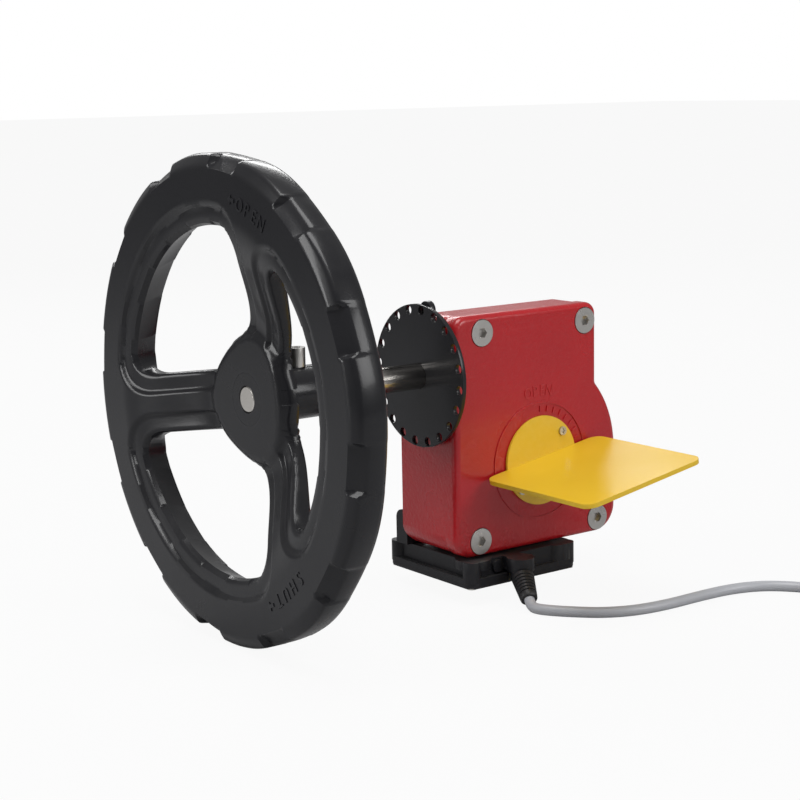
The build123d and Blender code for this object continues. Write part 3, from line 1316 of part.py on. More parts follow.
with BuildPart() as coil_tie:
    with BuildSketch(tie_plane):
        Rectangle(COIL_OUTER - COIL_INNER + 2 * TIE_THICKNESS, COIL_HEIGHT + 2 * TIE_THICKNESS)
        Rectangle(COIL_OUTER - COIL_INNER, COIL_HEIGHT, mode=Mode.SUBTRACT)
    extrude(amount=TIE_WIDTH / 2, both=True)
    with BuildSketch(level(COIL_BOTTOM)):
        with Locations(COIL_CENTRE):
            Circle(COIL_OUTER)
            Circle(COIL_INNER, mode=Mode.SUBTRACT)
    extrude(amount=COIL_HEIGHT, mode=Mode.SUBTRACT)
coil_tie.part.label = "coil_tie"
export_step(coil_tie.part, "parts/coil_tie.step")
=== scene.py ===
"""Looks of a hand operated quarter-turn worm gear valve operator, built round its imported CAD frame."""

import json
import logging
import math
from dataclasses import dataclass, field
from enum import Enum
from typing import Callable, Sequence

import bpy
from mathutils import Matrix, Vector

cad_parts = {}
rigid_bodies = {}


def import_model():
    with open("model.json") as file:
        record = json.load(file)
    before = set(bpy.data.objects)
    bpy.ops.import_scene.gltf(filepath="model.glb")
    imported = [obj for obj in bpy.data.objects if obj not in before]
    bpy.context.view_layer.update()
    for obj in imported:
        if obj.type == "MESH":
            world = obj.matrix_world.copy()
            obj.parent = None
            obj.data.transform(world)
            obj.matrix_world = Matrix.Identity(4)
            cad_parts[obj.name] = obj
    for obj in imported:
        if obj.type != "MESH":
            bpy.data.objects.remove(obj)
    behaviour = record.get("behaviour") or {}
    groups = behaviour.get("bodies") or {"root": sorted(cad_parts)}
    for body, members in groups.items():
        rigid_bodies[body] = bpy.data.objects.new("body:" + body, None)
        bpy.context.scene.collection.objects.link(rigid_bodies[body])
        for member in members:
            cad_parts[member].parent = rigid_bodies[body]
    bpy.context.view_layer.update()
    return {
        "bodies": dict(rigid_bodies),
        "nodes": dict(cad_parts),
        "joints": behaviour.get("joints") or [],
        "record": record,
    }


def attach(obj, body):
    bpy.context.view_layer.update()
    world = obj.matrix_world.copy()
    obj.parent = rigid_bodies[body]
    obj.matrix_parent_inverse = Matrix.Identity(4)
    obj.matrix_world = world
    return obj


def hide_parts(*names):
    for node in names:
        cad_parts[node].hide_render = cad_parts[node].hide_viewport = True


logging.basicConfig(level=logging.INFO, format="%(levelname)s %(message)s")
log = logging.getLogger("valve_operator")

MM = 0.001
Point = tuple[float, float, float]
Colour = tuple[float, float, float]

SHAFT_Y = -50.0
SHAFT_Z = 62.0
FLOOR_Z = -88.0
HUB_FACE = -209.0
RIM_FACE = -232.5
CASE_FRONT = -80.0
WHEEL_WORD_REACH = 122.5
COVER_WORD_REACH = 43.5
FLOOR_GAP = 0.0002
DUST: Colour = (0.5, 0.49, 0.47)


class Grain(Enum):
    """How a finish's fine texture runs over the surface."""

    EVEN = "even"
    ALONG_X = "along_x"
    ALONG_Y = "along_y"


STRETCH: dict[Grain, Point] = {
    Grain.EVEN: (1.0, 1.0, 1.0),
    Grain.ALONG_X: (0.04, 1.0, 1.0),
    Grain.ALONG_Y: (1.0, 0.04, 1.0),
}


@dataclass(frozen=True)
class Finish:
    """One surface finish: its colours, gloss, grain and wear, with grain scales in features per metre."""

    name: str
    colour: Colour
    shade: Colour
    worn: Colour
    roughness: float
    roughness_spread: float = 0.08
    metallic: float = 0.0
    coat: float = 0.0
    coat_roughness: float = 0.1
    specular: float = 0.5
    grain_scale: float = 600.0
    grain_height: float = 0.00005
    grain_detail: float = 3.0
    mottle_scale: float = 30.0
    wear: float = 0.0
    dust: float = 0.0
    grain: Grain = Grain.EVEN


@dataclass(frozen=True)
class RedEnamel(Finish):
    """Thick red enamel with orange peel over a sand casting."""

    name: str = "red_enamel"
    colour: Colour = (0.47, 0.008, 0.013)
    shade: Colour = (0.38, 0.005, 0.010)
    worn: Colour = (0.62, 0.05, 0.05)
    roughness: float = 0.3
    roughness_spread: float = 0.1
    specular: float = 0.35
    coat: float = 0.4
    coat_roughness: float = 0.16
    grain_scale: float = 420.0
    grain_height: float = 0.00042
    mottle_scale: float = 22.0
    wear: float = 0.35
    dust: float = 0.05


@dataclass(frozen=True)
class YellowEnamel(Finish):
    """Smooth glossy yellow enamel on sheet metal."""

    name: str = "yellow_enamel"
    colour: Colour = (0.80, 0.52, 0.012)
    shade: Colour = (0.75, 0.48, 0.010)
    worn: Colour = (0.95, 0.74, 0.16)
    roughness: float = 0.45
    coat: float = 0.25
    coat_roughness: float = 0.16
    grain_scale: float = 500.0
    grain_height: float = 0.00006
    wear: float = 0.3


@dataclass(frozen=True)
class BlackEnamel(Finish):
    """Satin black enamel of the handwheel and the locking disc."""

    name: str = "black_enamel"
    colour: Colour = (0.012, 0.012, 0.0145)
    shade: Colour = (0.008, 0.008, 0.010)
    worn: Colour = (0.05, 0.05, 0.055)
    roughness: float = 0.3
    specular: float = 0.22
    roughness_spread: float = 0.1
    coat: float = 0.25
    coat_roughness: float = 0.12
    grain_scale: float = 900.0
    grain_height: float = 0.00005
    mottle_scale: float = 18.0
    wear: float = 0.3
    dust: float = 0.04


@dataclass(frozen=True)
class BlackMoulding(Finish):
    """Fine grained black plastic moulding."""

    name: str = "black_moulding"
    colour: Colour = (0.014, 0.014, 0.017)
    shade: Colour = (0.010, 0.010, 0.012)
    worn: Colour = (0.06, 0.06, 0.065)
    roughness: float = 0.42
    specular: float = 0.32
    grain_scale: float = 2200.0
    grain_height: float = 0.00006
    wear: float = 0.3
    dust: float = 0.08


@dataclass(frozen=True)
class Stainless(Finish):
    """Turned stainless steel of the screws."""

    name: str = "stainless"
    colour: Colour = (0.62, 0.60, 0.57)
    shade: Colour = (0.50, 0.49, 0.47)
    worn: Colour = (0.8, 0.79, 0.77)
    roughness: float = 0.28
    metallic: float = 1.0
    grain_scale: float = 1800.0
    grain_height: float = 0.00004
    wear: float = 0.3


@dataclass(frozen=True)
class GroundSteel(Finish):
    """Ground steel bar with fine marks along it."""

    name: str = "ground_steel"
    colour: Colour = (0.72, 0.69, 0.65)
    shade: Colour = (0.62, 0.59, 0.55)
    worn: Colour = (0.75, 0.73, 0.7)
    roughness: float = 0.2
    roughness_spread: float = 0.05
    metallic: float = 1.0
    grain_scale: float = 2600.0
    grain_height: float = 0.000015
    grain: Grain = Grain.ALONG_X


@dataclass(frozen=True)
class Bronze(Finish):
    """Machined bronze of the bushes."""

    name: str = "bronze"
    colour: Colour = (0.55, 0.33, 0.12)
    shade: Colour = (0.45, 0.26, 0.09)
    worn: Colour = (0.7, 0.5, 0.25)
    roughness: float = 0.32
    metallic: float = 1.0
    grain_scale: float = 1500.0


@dataclass(frozen=True)
class GearIron(Finish):
    """Machined ductile iron of the sector gear."""

    name: str = "gear_iron"
    colour: Colour = (0.20, 0.20, 0.21)
    shade: Colour = (0.14, 0.14, 0.15)
    worn: Colour = (0.4, 0.4, 0.41)
    roughness: float = 0.42
    metallic: float = 1.0
    grain_scale: float = 1100.0
    grain_height: float = 0.0001
    wear: float = 0.4


@dataclass(frozen=True)
class SealRubber(Finish):
    """Dull nitrile rubber of seals and gaskets."""

    name: str = "seal_rubber"
    colour: Colour = (0.018, 0.018, 0.018)
    shade: Colour = (0.012, 0.012, 0.012)
    worn: Colour = (0.05, 0.05, 0.05)
    roughness: float = 0.7
    grain_scale: float = 1600.0


@dataclass(frozen=True)
class BootRubber(Finish):
    """Soft moulded rubber of the strain relief."""

    name: str = "boot_rubber"
    colour: Colour = (0.013, 0.013, 0.015)
    shade: Colour = (0.009, 0.009, 0.010)
    worn: Colour = (0.05, 0.05, 0.052)
    roughness: float = 0.5
    grain_scale: float = 1900.0
    grain_height: float = 0.00005
    wear: float = 0.25


@dataclass(frozen=True)
class CableGrey(Finish):
    """Light grey PVC sheath, a little glossy."""

    name: str = "cable_grey"
    colour: Colour = (0.46, 0.47, 0.50)
    shade: Colour = (0.41, 0.42, 0.45)
    worn: Colour = (0.6, 0.61, 0.64)
    roughness: float = 0.38
    grain_scale: float = 900.0
    grain_height: float = 0.00005
    mottle_scale: float = 24.0


@dataclass(frozen=True)
class BoardGreen(Finish):
    """Green solder mask of the circuit board."""

    name: str = "board_green"
    colour: Colour = (0.02, 0.16, 0.06)
    shade: Colour = (0.012, 0.11, 0.045)
    worn: Colour = (0.2, 0.35, 0.2)
    roughness: float = 0.3


@dataclass(frozen=True)
class TerminalGrey(Finish):
    """Grey polyamide of the terminal block."""

    name: str = "terminal_grey"
    colour: Colour = (0.28, 0.29, 0.31)
    shade: Colour = (0.24, 0.25, 0.27)
    worn: Colour = (0.4, 0.4, 0.42)
    roughness: float = 0.5


@dataclass(frozen=True)
class CoreCopper(Finish):
    """Tinned ferrules on the cable's cores."""

    name: str = "core_copper"
    colour: Colour = (0.68, 0.47, 0.33)
    shade: Colour = (0.6, 0.4, 0.27)
    worn: Colour = (0.8, 0.7, 0.6)
    roughness: float = 0.3
    metallic: float = 1.0


@dataclass(frozen=True)
class TieBlack(Finish):
    """Black nylon of the coil's tie."""

    name: str = "tie_black"
    colour: Colour = (0.012, 0.012, 0.013)
    shade: Colour = (0.009, 0.009, 0.010)
    worn: Colour = (0.04, 0.04, 0.042)
    roughness: float = 0.4


@dataclass(frozen=True)
class FloorWhite(Finish):
    """Plain pale studio floor."""

    name: str = "floor_white"
    colour: Colour = (0.5, 0.5, 0.505)
    shade: Colour = (0.49, 0.49, 0.495)
    worn: Colour = (0.52, 0.52, 0.52)
    roughness: float = 0.75
    grain_height: float = 0.0


def new_group(name: str, inputs: dict[str, float], outputs: dict[str, str]) -> bpy.types.NodeTree:
    """Starts a shader node group with a Vector input.

    Args:
        name: the group's name.
        inputs: further value inputs and their defaults.
        outputs: output names and their socket types.

    Returns:
        The node tree, with its group input and output nodes added.
    """
    tree = bpy.data.node_groups.new(name, "ShaderNodeTree")
    tree.interface.new_socket("Vector", in_out="INPUT", socket_type="NodeSocketVector")
    for socket, value in inputs.items():
        made = tree.interface.new_socket(socket, in_out="INPUT", socket_type="NodeSocketFloat")
        made.default_value = value
    for socket, kind in outputs.items():
        tree.interface.new_socket(socket, in_out="OUTPUT", socket_type=kind)
    tree.nodes.new("NodeGroupInput").name = "in"
    tree.nodes.new("NodeGroupOutput").name = "out"
    return tree


@dataclass
class Paintshop:
    """Builds the shared shader effects once and mixes each finish's material from them."""

    materials: dict[str, bpy.types.Material] = field(default_factory=dict)
    groups: dict[str, bpy.types.NodeTree] = field(default_factory=dict)

    def __post_init__(self) -> None:
        """Builds the shared effects."""
        self.groups = {"grain": self.grain(), "wear": self.edge_wear(), "dust": self.dust()}

    def grain(self) -> bpy.types.NodeTree:
        """Fine surface grain and broad tone.

        Returns:
            A group that puts out the fine Height and the broad Mottle.
        """
        floats = {"Height": "NodeSocketFloat", "Mottle": "NodeSocketFloat"}
        tree = new_group("surface_grain", {"Scale": 600.0, "Detail": 3.0, "Broad": 30.0}, floats)
        nodes, link = tree.nodes, tree.links.new
        fine = nodes.new("ShaderNodeTexNoise")
        broad = nodes.new("ShaderNodeTexNoise")
        broad.inputs["Detail"].default_value = 4.0
        for texture, scale in ((fine, "Scale"), (broad, "Broad")):
            link(nodes["in"].outputs["Vector"], texture.inputs["Vector"])
            link(nodes["in"].outputs[scale], texture.inputs["Scale"])
        link(nodes["in"].outputs["Detail"], fine.inputs["Detail"])
        link(fine.outputs["Fac"], nodes["out"].inputs["Height"])
        link(broad.outputs["Fac"], nodes["out"].inputs["Mottle"])
        return tree

    def edge_wear(self) -> bpy.types.NodeTree:
        """Wear along convex edges, broken up by noise.

        Returns:
            A group that puts out the worn Mask.
        """
        tree = new_group("edge_wear", {"Amount": 0.3}, {"Mask": "NodeSocketFloat"})
        nodes, link = tree.nodes, tree.links.new
        shape = nodes.new("ShaderNodeNewGeometry")
        ramp = nodes.new("ShaderNodeMapRange")
        ramp.inputs["From Min"].default_value = 0.53
        ramp.inputs["From Max"].default_value = 0.62
        speckle = nodes.new("ShaderNodeTexNoise")
        speckle.inputs["Scale"].default_value = 260.0
        broken = nodes.new("ShaderNodeMath")
        broken.operation = "MULTIPLY"
        faded = nodes.new("ShaderNodeMath")
        faded.operation = "MULTIPLY"
        faded.use_clamp = True
        link(shape.outputs["Pointiness"], ramp.inputs["Value"])
        link(nodes["in"].outputs["Vector"], speckle.inputs["Vector"])
        link(ramp.outputs["Result"], broken.inputs[0])
        link(speckle.outputs["Fac"], broken.inputs[1])
        link(broken.outputs["Value"], faded.inputs[0])
        link(nodes["in"].outputs["Amount"], faded.inputs[1])
        link(faded.outputs["Value"], nodes["out"].inputs["Mask"])
        return tree

    def dust(self) -> bpy.types.NodeTree:
        """Faint dust on faces that look up.

        Returns:
            A group that puts out the dusty Mask.
        """
        tree = new_group("settled_dust", {"Amount": 0.1}, {"Mask": "NodeSocketFloat"})
        nodes, link = tree.nodes, tree.links.new
        shape = nodes.new("ShaderNodeNewGeometry")
        parts = nodes.new("ShaderNodeSeparateXYZ")
        clouds = nodes.new("ShaderNodeTexNoise")
        clouds.inputs["Scale"].default_value = 90.0
        lying = nodes.new("ShaderNodeMath")
        lying.operation = "MULTIPLY"
        lying.use_clamp = True
        faded = nodes.new("ShaderNodeMath")
        faded.operation = "MULTIPLY"
        faded.use_clamp = True
        link(shape.outputs["Normal"], parts.inputs["Vector"])
        link(nodes["in"].outputs["Vector"], clouds.inputs["Vector"])
        link(parts.outputs["Z"], lying.inputs[0])
        link(clouds.outputs["Fac"], lying.inputs[1])
        link(lying.outputs["Value"], faded.inputs[0])
        link(nodes["in"].outputs["Amount"], faded.inputs[1])
        link(faded.outputs["Value"], nodes["out"].inputs["Mask"])
        return tree

    def placed(self, nodes: bpy.types.Nodes, effect: str, values: dict[str, float]) -> bpy.types.Node:
        """Places a shared effect in a material.

        Args:
            nodes: the material's nodes.
            effect: the effect's key.
            values: what to set on its inputs.

        Returns:
            The group node.
        """
        node = nodes.new("ShaderNodeGroup")
        node.node_tree = self.groups[effect]
        for socket, value in values.items():
            node.inputs[socket].default_value = value
        return node

    def material(self, finish: Finish) -> bpy.types.Material:
        """Mixes a finish's material, once.

        Args:
            finish: what to mix.

        Returns:
            The material.
        """
        if finish.name in self.materials:
            return self.materials[finish.name]
        made = bpy.data.materials.new(finish.name)
        made.use_nodes = True
        nodes, link = made.node_tree.nodes, made.node_tree.links.new
        shader = nodes["Principled BSDF"]
        place = nodes.new("ShaderNodeTexCoord")
        stretch = nodes.new("ShaderNodeMapping")
        stretch.inputs["Scale"].default_value = STRETCH[finish.grain]
        link(place.outputs["Object"], stretch.inputs["Vector"])
        grain = self.placed(
            nodes,
            "grain",
            {"Scale": finish.grain_scale, "Detail": finish.grain_detail, "Broad": finish.mottle_scale},
        )
        wear = self.placed(nodes, "wear", {"Amount": finish.wear})
        dust = self.placed(nodes, "dust", {"Amount": finish.dust})
        link(stretch.outputs["Vector"], grain.inputs["Vector"])
        link(place.outputs["Object"], wear.inputs["Vector"])
        link(place.outputs["Object"], dust.inputs["Vector"])
        tone = self.mixed(made, grain.outputs["Mottle"], finish.colour, finish.shade)
        worn = self.mixed(made, wear.outputs["Mask"], tone, finish.worn)
        dusty = self.mixed(made, dust.outputs["Mask"], worn, DUST)
        link(dusty, shader.inputs["Base Color"])
        gloss = nodes.new("ShaderNodeMapRange")
        gloss.inputs["To Min"].default_value = finish.roughness - finish.roughness_spread
        gloss.inputs["To Max"].default_value = finish.roughness + finish.roughness_spread
        link(grain.outputs["Mottle"], gloss.inputs["Value"])
        link(gloss.outputs["Result"], shader.inputs["Roughness"])
        if finish.grain_height:
            bump = nodes.new("ShaderNodeBump")
            bump.inputs["Strength"].default_value = 1.0
            bump.inputs["Distance"].default_value = finish.grain_height
            link(grain.outputs["Height"], bump.inputs["Height"])
            link(bump.outputs["Normal"], shader.inputs["Normal"])
        shader.inputs["Metallic"].default_value = finish.metallic
        shader.inputs["Specular IOR Level"].default_value = finish.specular
        shader.inputs["Coat Weight"].default_value = finish.coat
        shader.inputs["Coat Roughness"].default_value = finish.coat_roughness
        self.materials[finish.name] = made
        return made

    def mixed(
        self,
        made: bpy.types.Material,
        mask: bpy.types.NodeSocket,
        below: bpy.types.NodeSocket | Colour,
        above: Colour,
    ) -> bpy.types.NodeSocket:
        """Mixes a colour over another by a mask.

        Args:
            made: the material.
            mask: the mask's socket.
            below: the lower colour or its socket.
            above: the upper colour.

        Returns:
            The mixed colour's socket.
        """
        node = made.node_tree.nodes.new("ShaderNodeMix")
        node.data_type = "RGBA"
        made.node_tree.links.new(mask, node.inputs["Factor"])
        if isinstance(below, tuple):
            node.inputs["A"].default_value = (*below, 1.0)
        else:
            made.node_tree.links.new(below, node.inputs["A"])
        node.inputs["B"].default_value = (*above, 1.0)
        return next(out for out in node.outputs if out.type == "RGBA")


def deselect() -> None:
    """Leaves edit mode and deselects everything."""
    if bpy.context.object and bpy.context.object.mode != "OBJECT":
        bpy.ops.object.mode_set(mode="OBJECT")
    bpy.ops.object.select_all(action="DESELECT")


def only(piece: bpy.types.Object) -> None:
    """Selects one piece alone and makes it active.

    Args:
        piece: the piece.
    """
    deselect()
    piece.select_set(True)
    bpy.context.view_layer.objects.active = piece


def settle(piece: bpy.types.Object, angle: float = 30.0) -> None:
    """Applies a piece's place and modifiers, closes its seams and smooths it.

    Args:
        piece: the piece.
        angle: the widest angle, in degrees, that stays smooth.
    """
    only(piece)
    bpy.ops.object.transform_apply(location=True, rotation=True, scale=True)
    for modifier in list(piece.modifiers):
        bpy.ops.object.modifier_apply(modifier=modifier.name)
    bpy.ops.object.mode_set(mode="EDIT")
    bpy.ops.mesh.select_all(action="SELECT")
    bpy.ops.mesh.remove_doubles(threshold=0.00001)
    bpy.ops.mesh.normals_make_consistent(inside=False)
    bpy.ops.object.mode_set(mode="OBJECT")
    bpy.ops.object.shade_smooth_by_angle(angle=math.radians(angle))


def joined(pieces: Sequence[bpy.types.Object], name: str) -> bpy.types.Object:
    """Joins pieces into one.

    Args:
        pieces: the meshes.
        name: the joined piece's name.

    Returns:
        The joined piece.
    """
    deselect()
    for piece in pieces:
        piece.select_set(True)
    bpy.context.view_layer.objects.active = pieces[0]
    bpy.ops.object.join()
    pieces[0].name = name
    return pieces[0]


def ease(value: float) -> float:
    """Smooth step from 0 to 1.

    Args:
        value: how far along the step.

    Returns:
        The eased value, held between 0 and 1.
    """
    held = min(1.0, max(0.0, value))
    return held * held * (3 - 2 * held)


def rounded_max(first: float, second: float, radius: float) -> float:
    """The larger of two distances, with the corner between them rounded.

    Args:
        first: one distance.
        second: the other.
        radius: the corner's radius.

    Returns:
        The rounded distance.
    """
    if first > -radius and second > -radius:
        return math.hypot(first + radius, second + radius) - radius
    return max(first, second)


def quarter_round(distance: float, radius: float) -> float:
    """How far a rounded edge has dropped.

    Args:
        distance: distance from the edge.
        radius: the edge's radius.

    Returns:
        The drop.
    """
    if distance >= radius:
        return 0.0
    side = 1 - max(0.0, distance) / radius
    return radius * (1 - math.sqrt(max(0.0, 1 - side * side)))


@dataclass
class Handwheel:
    """Dished handwheel with three spokes, stepped brows round its openings and finger pockets."""

    radius: float = 150.0
    bore: float = 16.5
    opening_reach: float = 107.0
    spoke_angle: float = -8.0
    spoke_half: float = 19.0
    hub_reach: float = 40.0
    corner: float = 17.0
    hub_corner: float = 9.0
    brow_width: float = 10.5
    brow_slope: float = 3.0
    brow_height: float = 2.6
    edge_round: float = 3.0
    draft: float = 6.0
    face_reach: float = 142.7
    pockets: int = 12
    pocket_phase: float = 7.0
    pocket_half: float = 5.5
    pocket_blend: float = 1.0
    pocket_narrowing: float = 0.25
    wave_depth: float = 1.0
    rings: int = 66
    turns: int = 720
    ring_bias: float = 1.25
    step: float = 6.0
    spoke_sink: float = 4.0
    spoke_from: float = 44.0
    spoke_run: float = 72.0
    spoke_curve: float = 0.9
    hub_plateau: float = 36.5
    hub_lobe: float = 3.0
    land_slope: float = 0.42
    land_curve: float = 0.02
    pocket_lead: float = 1.6
    pocket_slope: float = 1.5
    pocket_curve: float = 0.055
    rim_round: float = 1.6
    back_depth: float = 13.0
    back_dish: float = 17.0
    back_from: float = 41.0
    back_run: float = 70.0
    back_rim: float = -209.2
    back_rim_from: float = 102.0
    back_rim_run: float = 6.0
    back_edge_round: float = 2.5
    back_rim_round: float = 5.0
    draft_from: float = 88.0
    draft_run: float = 14.0
    draft_reach: float = 12.0
    edge_gap: float = 3.0
    smooth_angle: float = 38.0

    def outwards(self, reach: float, angle: float) -> float:
        """Distance from a place on the wheel to the nearest opening's edge.

        Args:
            reach: distance from the shaft's axis.
            angle: angle about it in degrees.

        Returns:
            The distance in mm, negative in an opening.
        """
        local = math.radians((angle - self.spoke_angle) % 120 - 60)
        along = reach * math.cos(local)
        across = abs(reach * math.sin(local))
        spoke = self.spoke_half - (along * math.sin(math.pi / 3) - across * math.cos(math.pi / 3))
        edge = rounded_max(reach - self.opening_reach, spoke, self.corner)
        return rounded_max(edge, self.hub_reach - reach, self.hub_corner)

    def pocket(self, angle: float) -> float:
        """How much of a finger pocket there is at an angle.

        Args:
            angle: angle about the shaft in degrees.

        Returns:
            0 outside the pockets, 1 inside.
        """
        pitch = 360 / self.pockets
        off = abs((angle - self.pocket_phase + pitch / 2) % pitch - pitch / 2)
        return ease((self.pocket_half + self.pocket_blend / 2 - off) / self.pocket_blend)

    def rim_reach(self, angle: float) -> float:
        """Outer radius: a little smaller in the pockets, with a slow wave between them.

        Args:
            angle: angle about the shaft in degrees.

        Returns:
            The radius in mm.
        """
        wave = 0.5 + 0.5 * math.cos(math.radians(self.pockets * (angle - self.pocket_phase)))
        return self.radius - self.pocket_narrowing * self.pocket(angle) - self.wave_depth * wave

    def front(self, reach: float, angle: float, distance: float) -> float:
        """Depth of the wheel's front.

        Args:
            reach: distance from the shaft's axis.
            angle: angle about it, from +Y towards +Z, in degrees.
            distance: distance to the nearest opening's edge.

        Returns:
            The x of the front, in mm.
        """
        low = RIM_FACE + self.brow_height
        rise = ease((reach - self.spoke_from) / self.spoke_run) ** self.spoke_curve
        spoke = HUB_FACE + self.spoke_sink + (low - HUB_FACE - self.spoke_sink) * rise
        raised = self.brow_height * ease((distance - self.brow_width) / self.brow_slope)
        outer = spoke - raised
        lobe = math.cos(math.radians(3 * (angle - self.spoke_angle)))
        plateau = self.hub_plateau + self.hub_lobe * lobe
        share = ease((reach - plateau) / self.step)
        place = HUB_FACE + (outer - HUB_FACE) * share
        place += quarter_round(distance, self.edge_round)
        pocket = self.pocket(angle)
        land = max(0.0, reach - self.face_reach)
        chamfer = self.land_slope * land + self.land_curve * land * land
        sunk = max(0.0, reach - self.face_reach + self.pocket_lead)
        cut = self.pocket_slope * sunk - self.pocket_curve * sunk * sunk
        place += chamfer + (max(chamfer, cut) - chamfer) * pocket
        place += quarter_round(self.rim_reach(angle) - reach, self.rim_round)
        return place

    def back(self, reach: float, angle: float, distance: float) -> float:
        """Depth of the wheel's back.

        Args:
            reach: distance from the shaft's axis.
            angle: angle about it, from +Y towards +Z, in degrees.
            distance: distance to the nearest opening's edge.

        Returns:
            The x of the back, in mm.
        """
        spoke = HUB_FACE + self.back_depth - self.back_dish * ease((reach - self.back_from) / self.back_run)
        share = ease((reach - self.back_rim_from) / self.back_rim_run)
        place = spoke + (self.back_rim - spoke) * share
        place -= quarter_round(distance, self.back_edge_round)
        return place - quarter_round(self.rim_reach(angle) - reach, self.back_rim_round)

    def edge_place(self, reach: float, angle: float) -> tuple[float, float]:
        """Moves a place near an opening onto its edge.

        Args:
            reach: distance from the shaft's axis.
            angle: angle about it in degrees.

        Returns:
            The moved reach and angle.
        """
        for _ in range(4):
            distance = self.outwards(reach, angle)
            small = 0.01
            slope_reach = (self.outwards(reach + small, angle) - distance) / small
            turned = math.degrees(small / reach)
            slope_turn = (self.outwards(reach, angle + turned) - distance) / small
            size = slope_reach**2 + slope_turn**2
            reach -= distance * slope_reach / size
            angle -= math.degrees(distance * slope_turn / size / reach)
        return reach, angle

    def build(self, shop: Paintshop) -> bpy.types.Object:
        """Models the wheel from a polar grid that is cut, thickened and shaped.

        Args:
            shop: where its material comes from.

        Returns:
            The finished wheel.
        """
        deselect()
        bpy.ops.mesh.primitive_grid_add(x_subdivisions=self.rings, y_subdivisions=self.turns, size=1)
        wheel = bpy.context.object
        wheel.name = "handwheel_moulding"
        places: list[tuple[float, float]] = []
        for vertex in wheel.data.vertices:
            angle = (vertex.co.y + 0.5) * 360
            share = vertex.co.x + 0.5
            reach = self.bore + (self.rim_reach(angle) - self.bore) * (1 - (1 - share) ** self.ring_bias)
            places.append((reach, angle))
            vertex.co = (reach, angle, 0)
        bpy.ops.object.mode_set(mode="EDIT")
        bpy.ops.mesh.select_mode(type="FACE")
        bpy.ops.mesh.select_all(action="DESELECT")
        bpy.ops.object.mode_set(mode="OBJECT")
        for face in wheel.data.polygons:
            corners = [places[index] for index in face.vertices]
            reach = sum(corner[0] for corner in corners) / len(corners)
            angle = sum(corner[1] for corner in corners) / len(corners)
            face.select = self.outwards(reach, angle) < 0
        bpy.ops.object.mode_set(mode="EDIT")
        bpy.ops.mesh.delete(type="FACE")
        bpy.ops.object.mode_set(mode="OBJECT")
        counts: dict[tuple[int, int], int] = {}
        for face in wheel.data.polygons:
            for key in face.edge_keys:
                counts[key] = counts.get(key, 0) + 1
        border = {index for key, count in counts.items() if count == 1 for index in key}
        for index in border:
            vertex = wheel.data.vertices[index]
            reach, angle = vertex.co.x, vertex.co.y
            inside = self.bore + self.edge_gap < reach < self.opening_reach + self.edge_gap
            if inside and self.outwards(reach, angle) < self.edge_gap:
                vertex.co.x, vertex.co.y = self.edge_place(reach, angle)
        for vertex in wheel.data.vertices:
            reach, angle = vertex.co.x, vertex.co.y
            turn = math.radians(angle)
            across = SHAFT_Y + reach * math.cos(turn)
            height = SHAFT_Z + reach * math.sin(turn)
            vertex.co = Vector((self.front(reach, angle, self.outwards(reach, angle)), across, height))
        bpy.ops.object.mode_set(mode="EDIT")
        bpy.ops.mesh.select_all(action="SELECT")
        bpy.ops.mesh.remove_doubles(threshold=0.001)
        bpy.ops.mesh.extrude_region_move(TRANSFORM_OT_translate={"value": (1, 0, 0)})
        bpy.ops.object.mode_set(mode="OBJECT")
        for vertex in wheel.data.vertices:
            if vertex.select:
                across, height = vertex.co.y - SHAFT_Y, vertex.co.z - SHAFT_Z
                reach = math.hypot(across, height)
                angle = math.degrees(math.atan2(height, across)) % 360
                distance = self.outwards(reach, angle)
                vertex.co.x = self.back(reach, angle, distance)
                inner_wall = ease((reach - self.draft_from) / self.draft_run)
                spread = self.draft * inner_wall * max(0.0, 1 - distance / self.draft_reach)
                vertex.co.y += across / reach * spread
                vertex.co.z += height / reach * spread
        for vertex in wheel.data.vertices:
            vertex.co = vertex.co * MM
        settle(wheel, self.smooth_angle)
        wheel.data.materials.append(shop.material(BlackEnamel()))
        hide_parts("handwheel")
        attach(wheel, "input")
        return wheel


